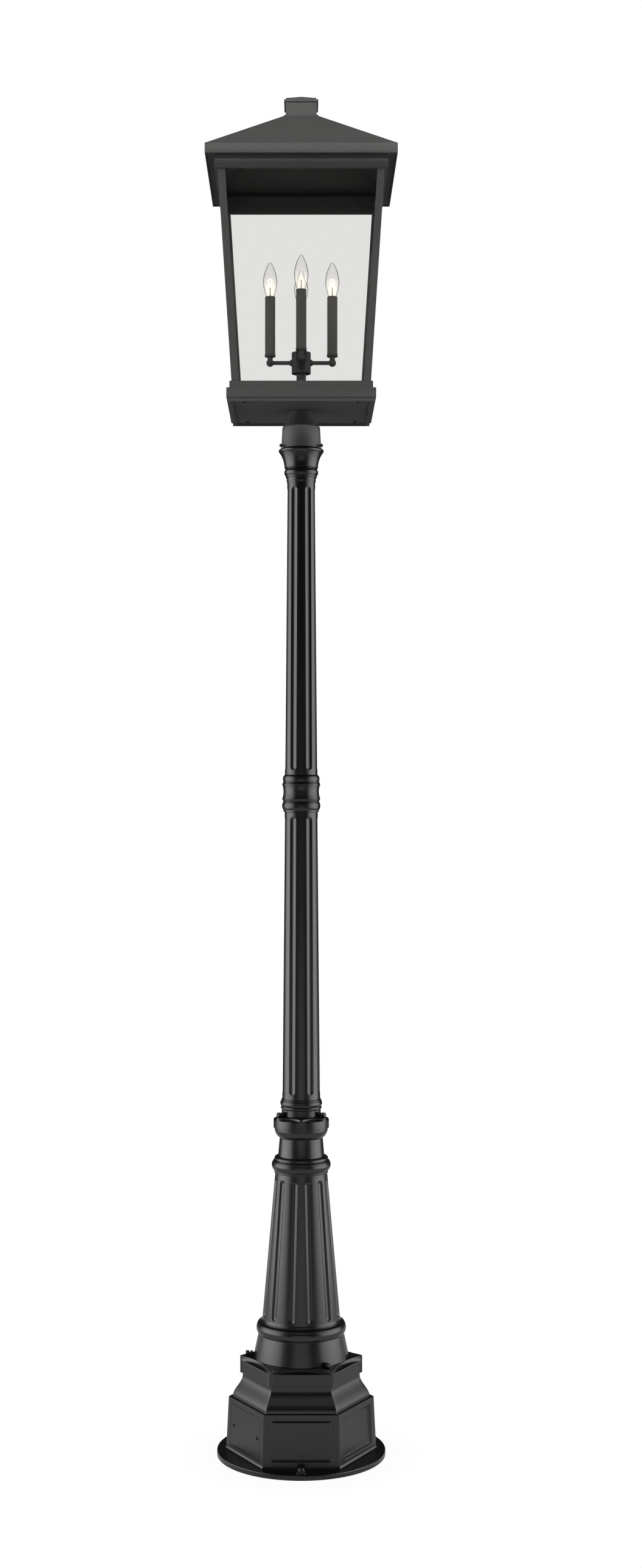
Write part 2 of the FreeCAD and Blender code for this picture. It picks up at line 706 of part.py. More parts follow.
def hand_hole(grow, z0, z1):
    half_w, half_h = HAND_HOLE_W / 2 + grow, HAND_HOLE_H / 2 + grow
    return block(-half_w, half_w, -half_h, half_h, z0, z1)


def door_screw_holes(radius, z0, z1):
    x = DOOR_W / 2 - DOOR_SCREW_EDGE
    return [round_bar(radius, z0, z1, -x), round_bar(radius, z0, z1, x)]


def ogee():
    """A cosine curve from the wide foot to the neck, then a short straight neck."""
    rings = []
    for k in range(OGEE_SECTIONS + 1):
        part = k / OGEE_SECTIONS
        share = 0.5 + 0.5 * math.cos(math.pi * part)
        radius = OGEE_R_NECK + (OGEE_R_FOOT - OGEE_R_NECK) * share
        rings.append(hexagon(radius, Z_BOX + OGEE_CURVE_H * part))
    curve = Part.makeLoft(rings, True, False)
    neck = Part.Face(hexagon(OGEE_R_NECK, Z_BOX + OGEE_CURVE_H))
    return curve.fuse(neck.extrude(FreeCAD.Vector(0, 0, OGEE_NECK_H)))


def crown_outline(z, back):
    """A hexagon with rounded corners, whose sides are drawn in by arcs that lie back at their middles."""
    reach = CROWN_EDGE_R * math.tan(math.radians(30))
    corner_r = CROWN_R - CROWN_EDGE_R * (1 / FLAT - 1)
    edges = []
    for k in range(6):
        before, corner, after = [polar(CROWN_R, 60.0 * (k + n), z) for n in (-1, 0, 1)]
        start = corner.add(before.sub(corner).normalize().multiply(reach))
        end = corner.add(after.sub(corner).normalize().multiply(reach))
        following = after.add(corner.sub(after).normalize().multiply(reach))
        edges.append(Part.Arc(start, polar(corner_r, 60.0 * k, z), end).toShape())
        if back:
            middle = polar(CROWN_R * FLAT - back, 60.0 * k + 30.0, z)
            edges.append(Part.Arc(end, middle, following).toShape())
        else:
            edges.append(Part.LineSegment(end, following).toShape())
    return Part.Wire(edges)


def cove(outline, z, height, back):
    """A solid whose sides are scooped: its outline draws in along a quarter of an ellipse as it rises."""
    wires = []
    for k in range(COVE_SECTIONS + 1):
        turn = math.radians(90.0 * k / COVE_SECTIONS)
        wires.append(outline(z + height * (1 - math.cos(turn)), back * math.sin(turn)))
    return Part.makeLoft(wires, True, True)


def crown():
    band = Part.Face(crown_outline(Z_OGEE, 0)).extrude(FreeCAD.Vector(0, 0, CROWN_BAND_H))
    return band.fuse(cove(crown_outline, Z_CROWN_RIM, CROWN_SCOOP_H, CROWN_SCOOP_BACK))


def hex_pedestal():
    foot = Part.makeLoft(
        [hexagon(BOX_R_FOOT + FOOT_FLARE, PLATE_T), hexagon(BOX_R_FOOT, PLATE_T + FOOT_H)], True, True
    )
    box = Part.makeLoft([hexagon(BOX_R_FOOT, PLATE_T + FOOT_H), hexagon(BOX_R_TOP, Z_BOX)], True, True)
    spigot_top = Z_CROWN + SKIRT_SPIGOT_H
    spigot = round_bar(SKIRT_SPIGOT_R, Z_CROWN - CROWN_DECK, spigot_top)
    body = foot.fuse([box, ogee(), crown(), spigot])
    inside = Part.makeLoft(
        [
            hexagon(box_inner(BOX_R_FOOT), PLATE_T - OVER),
            hexagon(box_inner(BOX_R_FOOT), PLATE_T + FOOT_H),
            hexagon(box_inner(BOX_R_TOP), Z_BOX - BOX_WALL),
        ],
        True,
        True,
    )
    throat_r = OGEE_R_NECK * FLAT - BOX_WALL
    throat = round_bar(throat_r, Z_BOX - BOX_WALL - OVER, Z_CROWN - CROWN_DECK)
    bore = round_bar(PEDESTAL_BORE_R, Z_CROWN - CROWN_DECK - OVER, spigot_top + OVER)
    body = body.cut([inside, throat, bore])
    boss = round_bar(BOSS_R, PLATE_T, PLATE_T + BOSS_H, BOSS_AT)
    body = body.fuse(around(boss, BOSS_ANGLES))
    screw = round_bar(
        PLATE_SCREW_R + THREAD_GAP, PLATE_T - OVER, PLATE_T + PLATE_SCREW_REACH + OVER, BOSS_AT
    )
    sunk = [on_face(sunk_panel(), angle) for angle in FACE_ANGLES if angle != DOOR_FACE]
    rebate = DOOR_T + GASKET_T
    door_cuts = [door_blank(DROP_GAP, -rebate, OVER), hand_hole(0, -BOX_WALL - OVER, OVER)]
    door_cuts += door_screw_holes(DOOR_SCREW_R + TURN_GAP, -BOX_WALL - OVER, OVER)
    door_cuts = [on_face(cut, DOOR_FACE) for cut in door_cuts]
    return one(body.cut(around(screw, BOSS_ANGLES) + sunk + door_cuts))


def access_door():
    door = door_blank(0, -DOOR_T, 0)
    holes = door_screw_holes(DOOR_SCREW_R + THREAD_GAP, -DOOR_T - OVER, OVER)
    return on_face(one(door.cut(holes)), DOOR_FACE)


def door_gasket():
    gasket = door_blank(0, -DOOR_T - GASKET_T, -DOOR_T)
    holes = door_screw_holes(DOOR_SCREW_R + TURN_GAP, -DOOR_T - GASKET_T - OVER, OVER)
    gasket = gasket.cut(holes + [hand_hole(0, -DOOR_T - GASKET_T - OVER, OVER)])
    return on_face(one(gasket), DOOR_FACE)


def door_screws():
    """Pan-head screws that stay in the door when it comes off."""
    screw = turned(
        (0, -DOOR_T - GASKET_T - DOOR_SCREW_REACH),
        (DOOR_SCREW_R, -DOOR_T - GASKET_T - DOOR_SCREW_REACH),
        (DOOR_SCREW_R, 0),
        (DOOR_SCREW_HEAD_R, 0),
        (DOOR_SCREW_HEAD_R, DOOR_SCREW_HEAD_H / 2),
        dome(DOOR_SCREW_HEAD_R, DOOR_SCREW_HEAD_H / 2, DOOR_SCREW_HEAD_H),
    )
    x = DOOR_W / 2 - DOOR_SCREW_EDGE
    screws = []
    for side in (-x, x):
        copy = screw.copy()
        copy.translate(FreeCAD.Vector(side, 0, 0))
        screws.append(on_face(copy, DOOR_FACE))
    return screws


# Slip joints
def clamp_bolt(outer, spigot, z):
    """A radial bolt with a jam nut, through a casting of the given outer radius to the spigot inside."""
    nut_x = outer + JAM_NUT_OFF
    head_x = nut_x + JAM_NUT_T + HEAD_OFF
    shank = radial_bar(BOLT_R, spigot + SLIP_GAP, head_x, z)
    nut = radial_hex(BOLT_FLATS, nut_x, nut_x + JAM_NUT_T, z)
    head = radial_hex(BOLT_FLATS, head_x, head_x + BOLT_HEAD_T, z)
    return one(shank.fuse([nut, head]))


def bolt_height(seat):
    return seat + BOLT_LIFT + BOLT_FLATS / 2


def bolt_holes(outer, z, angles):
    return around(radial_bar(BOLT_R + THREAD_GAP, 0, outer + OVER, z), angles)


# Column
def taper_radius(z):
    return TAPER_R_FOOT + (TAPER_R_TOP - TAPER_R_FOOT) * (z - Z_TAPER) / TAPER_H


def band_outline(z, back):
    """A circle of six arcs, whose middles lie back from the band's radius."""
    edges = []
    for k in range(6):
        start = 30.0 + 60.0 * k
        ends = [polar(BAND_R, start, z), polar(BAND_R, start + 60.0, z)]
        edges.append(Part.Arc(ends[0], polar(BAND_R - back, start + 30.0, z), ends[1]).toShape())
    return Part.Wire(edges)


def fluted_column():
    socket_r = SKIRT_SPIGOT_R + SLIP_GAP
    ledge = Z_CROWN + SKIRT_SPIGOT_H + SLIP_GAP
    bore_foot = TAPER_R_FOOT - TAPER_WALL
    bore_top = TAPER_R_TOP - TAPER_WALL
    cove_r = TAPER_R_FOOT + LOW_RING_COVE_W
    cove_z = Z_TAPER - LOW_RING_COVE_H
    lip_z = Z_HIGH_STEP + HIGH_STEP_H / 2
    body = turned(
        (socket_r, Z_CROWN),
        (SKIRT_R_FOOT, Z_CROWN),
        (SKIRT_R_TOP, Z_SKIRT),
        ((LOW_RING_R, Z_SKIRT + LOW_RING_PEAK), (cove_r + LOW_RING_LEDGE, cove_z)),
        (cove_r, cove_z),
        (
            (TAPER_R_FOOT + LOW_RING_COVE_W * LOW_RING_COVE_ARC[0], cove_z + LOW_RING_COVE_H * LOW_RING_COVE_ARC[1]),
            (TAPER_R_FOOT, Z_TAPER),
        ),
        (TAPER_R_TOP, Z_HIGH_LIP),
        (HIGH_LIP_R, Z_HIGH_LIP),
        (HIGH_LIP_R, Z_HIGH_RING),
        ((HIGH_RING_R, Z_HIGH_RING + HIGH_RING_H / 2), (HIGH_STEP_R, Z_HIGH_STEP)),
        (HIGH_STEP_R, lip_z),
        (
            (NECK_R_FOOT + (HIGH_STEP_R - NECK_R_FOOT) * DIAGONAL, lip_z + (Z_NECK - lip_z) * DIAGONAL),
            (NECK_R_FOOT, Z_NECK),
        ),
        (NECK_R_TOP, Z_CUP),
        (
            (NECK_R_TOP + (CUP_R - NECK_R_TOP) * CUP_ARC[0], Z_CUP + CUP_H * CUP_ARC[1]),
            (CUP_R, Z_BAND - BAND_GROOVE),
        ),
        (CUP_R, Z_BAND),
        (BAND_R, Z_BAND),
        (BAND_R, Z_BAND_RIM),
        (COLUMN_BORE_R, Z_BAND_RIM),
        (COLUMN_BORE_R, Z_HIGH_RING),
        (bore_top, Z_HIGH_LIP),
        (bore_foot, Z_TAPER),
        (bore_foot, ledge),
        (socket_r, ledge),
    )
    scoops = cove(band_outline, Z_BAND_RIM, BAND_SCOOP_H, BAND_SCOOP_BACK)
    spigot_top = Z_COLLAR + LOWER_SPIGOT_H
    spigot = round_bar(LOWER_SPIGOT_R, Z_BAND_RIM, spigot_top)
    bore = round_bar(COLUMN_BORE_R, Z_BAND_RIM - OVER, spigot_top + OVER)
    body = body.fuse([scoops, spigot]).cut(bore)
    flute_foot = Z_TAPER + COLUMN_FLUTE_FOOT
    flute_top = Z_HIGH_LIP - COLUMN_FLUTE_TOP
    cuts = flutes(
        COLUMN_FLUTES,
        180.0 / COLUMN_FLUTES,
        COLUMN_FLUTE_W,
        COLUMN_FLUTE_DEPTH,
        (taper_radius(flute_foot), flute_foot),
        (taper_radius(flute_top), flute_top),
    )
    holes = bolt_holes(SKIRT_R_FOOT, bolt_height(Z_CROWN), PEDESTAL_BOLT_ANGLES)
    return one(body.cut(cuts + holes))


def pedestal_bolts():
    bolt = clamp_bolt(SKIRT_R_FOOT, SKIRT_SPIGOT_R, bolt_height(Z_CROWN))
    return around(bolt, PEDESTAL_BOLT_ANGLES)


# Shafts
def shaft_flutes(r_foot, z_foot, r_top, z_top):
    """Cutters for a shaft's flutes, which stop short of both ends of its taper."""
    slope = (r_top - r_foot) / (z_top - z_foot)
    foot = (r_foot + slope * SHAFT_FLUTE_END, z_foot + SHAFT_FLUTE_END)
    top = (r_top - slope * SHAFT_FLUTE_END, z_top - SHAFT_FLUTE_END)
    return flutes(SHAFT_FLUTES, 0.0, SHAFT_FLUTE_W, SHAFT_FLUTE_DEPTH, foot, top)


def lower_shaft():
    socket_r = LOWER_SPIGOT_R + SLIP_GAP
    ledge = Z_COLLAR + LOWER_SPIGOT_H + SLIP_GAP
    shaft = turned(
        (socket_r, Z_COLLAR),
        (LOWER_NECK_R, Z_COLLAR),
        (LOWER_NECK_R, Z_LOWER_BEAD),
        ((LOWER_BEAD_R, Z_LOWER_BEAD + LOWER_BEAD_H / 2), (LOWER_VALLEY_R, Z_LOWER_RING)),
        ((LOWER_RING_R, Z_LOWER_RING + LOWER_RING_H / 2), (LOWER_VALLEY_R, Z_LOWER_STEP)),
        (LOWER_STEP_R, Z_LOWER_STEP),
        (LOWER_STEP_R, Z_LOWER - LOWER_STEP_H / 2),
        (LOWER_R_FOOT, Z_LOWER),
        (LOWER_R_TOP, Z_MID),
        (LOWER_BORE_R, Z_MID),
        (LOWER_BORE_R, ledge),
        (socket_r, ledge),
    )
    cuts = shaft_flutes(LOWER_R_FOOT, Z_LOWER, LOWER_R_TOP, Z_MID)
    holes = bolt_holes(LOWER_NECK_R, bolt_height(Z_COLLAR), COLLAR_BOLT_ANGLES)
    return one(shaft.cut(cuts + holes))


def collar_bolts():
    bolt = clamp_bolt(LOWER_NECK_R, LOWER_SPIGOT_R, bolt_height(Z_COLLAR))
    return around(bolt, COLLAR_BOLT_ANGLES)


def mid_collar():
    """A turned ring between the shafts, with a spigot into each."""
    waist_z = (Z_MID_TIP + Z_MID_TIP_TOP) / 2
    bead_top = (Z_MID_TOP_BEAD + Z_UPPER) / 2
    return turned(
        (MID_BORE_R, Z_MID - MID_SPIGOT_H),
        (MID_LOW_SPIGOT_R, Z_MID - MID_SPIGOT_H),
        (MID_LOW_SPIGOT_R, Z_MID),
        (MID_STEP_R, Z_MID),
        (MID_STEP_R, Z_MID_BEAD),
        ((MID_BEAD_R, Z_MID_BEAD + MID_BEAD_H / 2), (MID_GROOVE_R, Z_MID_GROOVE)),
        (MID_TIP_R, Z_MID_TIP),
        ((MID_WAIST_R, waist_z), (MID_TIP_R, Z_MID_TIP_TOP)),
        (MID_GROOVE_R, Z_MID_TOP_BEAD),
        ((MID_TOP_BEAD_R, bead_top), (UPPER_R_FOOT + MID_TOP_STEP, Z_UPPER)),
        (MID_HIGH_SPIGOT_R, Z_UPPER),
        (MID_HIGH_SPIGOT_R, Z_UPPER + MID_SPIGOT_H),
        (MID_BORE_R, Z_UPPER + MID_SPIGOT_H),
    )


def upper_shaft():
    ledge = Z_UPPER + MID_SPIGOT_H + SLIP_GAP
    shaft = turned(
        (UPPER_SOCKET_R, Z_UPPER),
        (UPPER_R_FOOT, Z_UPPER),
        (UPPER_R_TOP, Z_UPPER_BAND),
        (UPPER_BAND_R, Z_UPPER_BAND + UPPER_BAND_H / 3),
        (UPPER_BAND_R, Z_UPPER_LIP),
        (UPPER_LIP_R, Z_UPPER_LIP),
        (UPPER_LIP_R, Z_UPPER_BEAD),
        ((UPPER_BEAD_R, Z_UPPER_BEAD + UPPER_BEAD_H / 2), (UPPER_GROOVE_R, Z_UPPER_GROOVE)),
        (UPPER_GROOVE_R, Z_CAPITAL),
        (UPPER_BORE_R, Z_CAPITAL),
        (UPPER_BORE_R, ledge),
        (UPPER_SOCKET_R, ledge),
    )
    return one(shaft.cut(shaft_flutes(UPPER_R_FOOT, Z_UPPER, UPPER_R_TOP, Z_UPPER_BAND)))


def post_capital():
    """A flared capital with a spigot into the shaft and a seat for the tenon."""
    seat_r = TENON_R + SLIP_GAP
    lip_z = Z_CAPITAL + CAPITAL_LIP_H
    rim_edge = CAPITAL_RIM_R - CAPITAL_RIM_ROUND
    flare_r = CAPITAL_LIP_R + (rim_edge - CAPITAL_LIP_R) * CAPITAL_FLARE_ARC[0]
    flare_z = lip_z + CAPITAL_FLARE_H * CAPITAL_FLARE_ARC[1]
    return turned(
        (WIRE_WAY_R, Z_CAPITAL - CAPITAL_SPIGOT_H),
        (CAPITAL_SPIGOT_R, Z_CAPITAL - CAPITAL_SPIGOT_H),
        (CAPITAL_SPIGOT_R, Z_CAPITAL),
        (UPPER_GROOVE_R, Z_CAPITAL),
        (CAPITAL_LIP_R, Z_CAPITAL + CAPITAL_LIP_H / 3),
        (CAPITAL_LIP_R, lip_z),
        ((flare_r, flare_z), (rim_edge, Z_CAPITAL_RIM)),
        ((CAPITAL_RIM_R, Z_CAPITAL_RIM + CAPITAL_RIM_H / 2), (rim_edge, Z_CAPITAL_TOP)),
        (seat_r, Z_CAPITAL_TOP),
        (seat_r, Z_CAPITAL_TOP - TENON_SEAT),
        (WIRE_WAY_R, Z_CAPITAL_TOP - TENON_SEAT),
    )


def tenon_tube():
    foot = Z_CAPITAL_TOP - TENON_SEAT
    bore = TENON_R - TENON_WALL
    return turned((bore, foot), (TENON_R, foot), (TENON_R, Z_TENON), (bore, Z_TENON))


# Lantern foot
def fitter_radius(z):
    return FITTER_R_FOOT + (FITTER_R_SHOULDER - FITTER_R_FOOT) * (z - Z_FITTER) / FITTER_BODY_H


def post_fitter():
    neck_r = FITTER_NECK_R + (FITTER_R_SHOULDER - FITTER_NECK_R) * FITTER_NECK_ARC[0]
    neck_z = Z_FITTER_SHOULDER + FITTER_NECK_H * FITTER_NECK_ARC[1]
    bore = STEM_R + THREAD_GAP
    fitter = turned(
        (SOCKET_R, Z_FITTER),
        (FITTER_R_FOOT, Z_FITTER),
        (FITTER_R_SHOULDER, Z_FITTER_SHOULDER),
        ((neck_r, neck_z), (FITTER_NECK_R, Z_COVER)),
        (bore, Z_COVER),
        (bore, Z_TENON),
        (SOCKET_R, Z_TENON),
    )
    hole = radial_bar(FITTER_SCREW_R + THREAD_GAP, TENON_R, FITTER_R_FOOT + OVER, Z_FITTER + FITTER_SCREW_UP)
    return one(fitter.cut(around(hole, COLLAR_BOLT_ANGLES)))


def fitter_screws():
    """Round-headed set screws, with some of their thread outside the fitter."""
    z = Z_FITTER + FITTER_SCREW_UP
    tip_x = TENON_R + TURN_GAP
    head_x = fitter_radius(z) + FITTER_SCREW_OUT
    screw = turned(
        (0, tip_x),
        (FITTER_SCREW_R, tip_x),
        (FITTER_SCREW_R, head_x),
        (FITTER_SCREW_HEAD_R, head_x),
        (FITTER_SCREW_HEAD_R, head_x + FITTER_SCREW_HEAD_H / 3),
        dome(FITTER_SCREW_HEAD_R, head_x + FITTER_SCREW_HEAD_H / 3, head_x + FITTER_SCREW_HEAD_H),
    )
    screw.rotate(ORIGIN, FreeCAD.Vector(0, 1, 0), 90)
    screw.translate(FreeCAD.Vector(0, 0, z))
    return around(screw, COLLAR_BOLT_ANGLES)


def corner_bars(radius, z0, z1):
    spots = [(sx * COVER_SCREW_AT, sy * COVER_SCREW_AT) for sx in (-1, 1) for sy in (-1, 1)]
    return [round_bar(radius, z0, z1, x, y) for x, y in spots]


def bottom_cover():
    plate = square_block(COVER_HALF, Z_COVER, Z_TRAY)
    holes = corner_bars(COVER_SCREW_R + SCREW_GAP, Z_COVER - OVER, Z_TRAY + OVER)
    holes.append(round_bar(STEM_HOLE_R, Z_COVER - OVER, Z_TRAY + OVER))
    return one(plate.cut(holes))


def cover_screws():
    shanks = corner_bars(COVER_SCREW_R, Z_COVER - COVER_SCREW_HEAD_H, Z_TRAY + COVER_SCREW_REACH)
    heads = corner_bars(COVER_SCREW_HEAD_R, Z_COVER - COVER_SCREW_HEAD_H, Z_COVER)
    return [one(shank.fuse(head)) for shank, head in zip(shanks, heads)]


def lantern_base():
    """A stepped tray, open below, with a deck that carries the cage."""
    body = square_block(RIM_HALF, Z_RIM, Z_TRAY).fuse(
        [square_block(TIER_HALF, Z_TRAY, Z_TIER), square_block(DECK_HALF, Z_TIER, Z_DECK)]
    )
    tray_half = RIM_HALF - RIM_WALL - TRAY_WALL
    recess = square_block(RIM_HALF - RIM_WALL, Z_RIM - OVER, Z_TRAY)
    tray = square_block(tray_half, Z_TRAY - OVER, Z_DECK - DECK_T)
    body = body.cut([recess, tray]).fuse(corner_bars(COVER_BOSS_R, Z_TRAY, Z_DECK - DECK_T))
    holes = corner_bars(COVER_SCREW_R + THREAD_GAP, Z_TRAY - OVER, Z_TRAY + COVER_SCREW_REACH + OVER)
    holes.append(round_bar(STEM_HOLE_R, Z_TRAY - OVER, Z_DECK + OVER))
    return one(body.cut(holes))


# Lantern cage
def cage_half(z):
    return CAGE_HALF_FOOT + CAGE_SLOPE * (z - Z_DECK)


def leaning_bar(x0, x1, y0, y1, z0, z1, lean_x, lean_y):
    """A straight bar whose plan, given at the deck, moves outwards with the cage's slope as it rises."""
    wires = []
    for z in (z0, z1):
        shift = CAGE_SLOPE * (z - Z_DECK)
        wires.append(
            rectangle(
                x0 - shift * lean_x[0], x1 + shift * lean_x[1], y0 + shift * lean_y, y1 + shift * lean_y, z
            )
        )
    return Part.makeLoft(wires, True, True)


def corner_post():
    """The post at +X +Y, with a groove for each of the two panes that meet at it."""
    outer = CAGE_HALF_FOOT
    inner = outer - POST_SIDE
    slot = GLASS_T / 2 + GLASS_GAP
    middle = outer - PANE_IN
    moving = (-1, 1)
    post = leaning_bar(inner, outer, inner, outer, Z_DECK, Z_FRIEZE, moving, 1)
    groove_ends = (Z_DECK - OVER, Z_FRIEZE + OVER)
    to_left = leaning_bar(
        inner - OVER, inner + GROOVE_DEPTH, middle - slot, middle + slot, *groove_ends, moving, 1
    )
    to_front = leaning_bar(
        middle - slot, middle + slot, inner - OVER, inner + GROOVE_DEPTH, *groove_ends, moving, 1
    )
    return one(post.cut([to_left, to_front]))


def pane():
    """The rear pane: a trapezium that stands in the corner posts' grooves."""
    half = CAGE_HALF_FOOT - POST_SIDE + GROOVE_DEPTH - GROOVE_ROOM
    middle = CAGE_HALF_FOOT - PANE_IN
    return leaning_bar(
        -half, half, middle - GLASS_T / 2, middle + GLASS_T / 2, Z_DECK, Z_GLASS, (1, 1), 1
    )


def frieze_ring():
    """A square ring over the corner posts, with an upstand that centres the roof."""
    band = square_block(FRIEZE_HALF, Z_FRIEZE, Z_SOFFIT)
    upstand = square_block(FRIEZE_INNER + UPSTAND_WALL, Z_SOFFIT, Z_SOFFIT + UPSTAND_H)
    hole = square_block(FRIEZE_INNER, Z_FRIEZE - OVER, Z_SOFFIT + UPSTAND_H + OVER)
    return one(band.fuse(upstand).cut(hole))


def glass_clips():
    """Two bent clips per side: a flange on the ring's inner face and a leg behind the pane."""
    leg_y = cage_half(Z_GLASS - CLIP_LEG) - PANE_IN - GLASS_T / 2 - GLASS_GAP
    bend = Z_GLASS + GLASS_GAP
    half = CLIP_W / 2
    flange = block(-half, half, FRIEZE_INNER - CLIP_T, FRIEZE_INNER, bend, bend + CLIP_FLANGE)
    jog = block(-half, half, leg_y - CLIP_T, FRIEZE_INNER, bend, bend + CLIP_T)
    leg = block(-half, half, leg_y - CLIP_T, leg_y, Z_GLASS - CLIP_LEG, bend + CLIP_T)
    clip = one(flange.fuse([jog, leg]))
    clips = []
    for side in (-CLIP_AT, CLIP_AT):
        copy = clip.copy()
        copy.translate(FreeCAD.Vector(side, 0, 0))
        clips += around(copy, [0, 90, 180, 270])
    return clips


def corner_tabs():
    """Three-cornered tabs that keep the feet of the side panes in their grooves."""
    inner = CAGE_HALF_FOOT - PANE_IN - GLASS_T / 2 - GLASS_GAP
    corner = CAGE_HALF_FOOT - POST_SIDE - GLASS_GAP
    shift = CAGE_SLOPE * TAB_H
    corners = [(corner, Z_DECK), (corner - TAB_W, Z_DECK), (corner + shift, Z_DECK + TAB_H)]
    tabs = []
    for sx in (-1, 1):
        for sy in (-1, 1):
            spots = [FreeCAD.Vector(sx * (inner - TAB_T), sy * y, z) for y, z in corners + corners[:1]]
            lean = FreeCAD.Vector(sx * TAB_T, 0, 0)
            tabs.append(Part.Face(Part.makePolygon(spots)).extrude(lean))
    return tabs


# Roof
def mitred(*section):
    """A sheet along the +X side from its (half width, height) corners, cut on the diagonals of the plan."""
    low, high = [[FreeCAD.Vector(half, side * half, z) for half, z in section] for side in (-1, 1)]
    rings = [low, high]
    for k in range(len(section)):
        rings.append([low[k - 1], low[k], high[k], high[k - 1]])
    faces = [Part.Face(Part.makePolygon(ring + ring[:1])) for ring in rings]
    return Part.Solid(Part.Shell(faces))


def roof_slopes():
    """Four sheets that meet on the hips."""
    sheet = mitred(
        (ROOF_INNER, Z_EAVE_INNER),
        (ROOF_HALF, Z_EAVE),
        (ROOF_CAP_HALF, Z_ROOF_CAP),
        (ROOF_INNER_TOP, Z_ROOF_CAP),
    )
    return around(sheet, [0, 90, 180, 270])


def roof_fascia():
    """Four boards under the edges of the slopes."""
    board = mitred(
        (ROOF_INNER, Z_FASCIA), (ROOF_HALF, Z_FASCIA), (ROOF_HALF, Z_EAVE), (ROOF_INNER, Z_EAVE_INNER)
    )
    return around(board, [0, 90, 180, 270])


def roof_cap():
    plate = square_frustum(ROOF_CAP_HALF, Z_ROOF_CAP, ROOF_TOP_HALF, Z_ROOF)
    return one(plate.cut(round_bar(ROD_R + SCREW_GAP, Z_ROOF_CAP - OVER, Z_ROOF + OVER)))


def roof_soffit():
    """A flat ring inside the fascia that rests on the frieze, with shallow seams across each side."""
    plate = square_block(ROOF_INNER - SLIP_GAP, Z_SOFFIT, Z_SOFFIT + SOFFIT_T)
    hole = FRIEZE_INNER + UPSTAND_WALL + DROP_GAP
    opening = square_block(hole, Z_SOFFIT - OVER, Z_SOFFIT + SOFFIT_T + OVER)
    seams = []
    for at in (-SEAM_AT, SEAM_AT):
        seam = block(
            at - SEAM_W / 2, at + SEAM_W / 2, hole - OVER, ROOF_HALF, Z_SOFFIT - OVER, Z_SOFFIT + SEAM_DEPTH
        )
        seams += around(seam, [0, 90, 180, 270])
    return one(plate.cut([opening] + seams))


def finial_neck():
    neck = square_block(ROOF_TOP_HALF, Z_ROOF, Z_FINIAL).fuse(square_block(FINIAL_HALF, Z_FINIAL, Z_LID))
    return one(neck.cut(round_bar(ROD_R + THREAD_GAP, Z_ROOF - OVER, Z_LID + OVER)))


def finial_cap():
    """A square lid with a low pyramid on top."""
    foot_z = Z_PYRAMID + PYRAMID_FOOT_H
    peak = FreeCAD.Vector(0, 0, foot_z + PYRAMID_RISE)
    base = [(-1, -1), (1, -1), (1, 1), (-1, 1)]
    base = [FreeCAD.Vector(PYRAMID_HALF * x, PYRAMID_HALF * y, foot_z) for x, y in base]
    faces = [Part.Face(Part.makePolygon(base + base[:1]))]
    for k in range(4):
        faces.append(Part.Face(Part.makePolygon([base[k], base[(k + 1) % 4], peak, base[k]])))
    pyramid = Part.Solid(Part.Shell(faces))
    lid = square_block(LID_HALF, Z_LID, Z_PYRAMID).fuse(
        [square_block(PYRAMID_HALF, Z_PYRAMID, foot_z), pyramid]
    )
    return one(lid.cut(round_bar(ROD_R + THREAD_GAP, Z_LID - OVER, Z_LID + ROD_ABOVE + OVER)))


def finial_rod():
    """A threaded rod through the roof's cap plate, and the nut that holds it."""
    nut_z = Z_ROOF_CAP - ROD_NUT_H
    rod = round_bar(ROD_R, Z_ROOF_CAP - ROD_BELOW, Z_LID + ROD_ABOVE)
    nut = hex_bar(ROD_NUT_FLATS, nut_z, Z_ROOF_CAP)
    nut = nut.cut(round_bar(ROD_R + THREAD_GAP, nut_z - OVER, Z_ROOF_CAP + OVER))
    return [rod, one(nut)]


# Lamp cluster
def stem():
    return turned(
        (STEM_R - STEM_WALL, Z_TENON + STEM_OFF),
        (STEM_R, Z_TENON + STEM_OFF),
        (STEM_R, Z_HUB_COVER + STEM_IN_HUB),
        (STEM_R - STEM_WALL, Z_HUB_COVER + STEM_IN_HUB),
    )


def stem_nuts():
    """One nut clamps the deck, the other the hub's cover from inside the hub."""
    nuts = []
    for z in (Z_DECK, Z_HUB + HUB_LIP_H):
        bore = round_bar(STEM_R + THREAD_GAP, z - OVER, z + LOCKNUT_H + OVER)
        nuts.append(one(hex_bar(LOCKNUT_FLATS, z, z + LOCKNUT_H).cut(bore)))
    return nuts


def lamp_hub():
    """A round cup, open below, with a hole for each arm."""
    hub = turned(
        (HUB_R - HUB_WALL, Z_HUB),
        (HUB_R, Z_HUB),
        (HUB_R, Z_HUB + HUB_H),
        (0, Z_HUB + HUB_H),
        (0, Z_HUB + HUB_H - HUB_WALL),
        (HUB_R - HUB_WALL, Z_HUB + HUB_H - HUB_WALL),
    )
    hole = radial_bar(ARM_R + THREAD_GAP, 0, HUB_R + OVER, Z_ARM)
    return one(hub.cut(around(hole, LAMP_PLACES.values())))


def hub_cover():
    hole_r = STEM_R + THREAD_GAP
    lip_r = HUB_R - HUB_WALL - SLIP_GAP
    return turned(
        (hole_r, Z_HUB_COVER),
        (HUB_R, Z_HUB_COVER),
        (HUB_R, Z_HUB),
        (lip_r, Z_HUB),
        (lip_r, Z_HUB + HUB_LIP_H),
        (hole_r, Z_HUB + HUB_LIP_H),
    )


def hub_seat():
    """The hub's round wall, which the inner end of an arm's collar is shaped to meet."""
    wall = round_bar(HUB_R, Z_ARM - ARM_COLLAR_R - OVER, Z_ARM + ARM_COLLAR_R + OVER)
    return wall.cut(radial_bar(ARM_R, 0, HUB_R + OVER, Z_ARM))


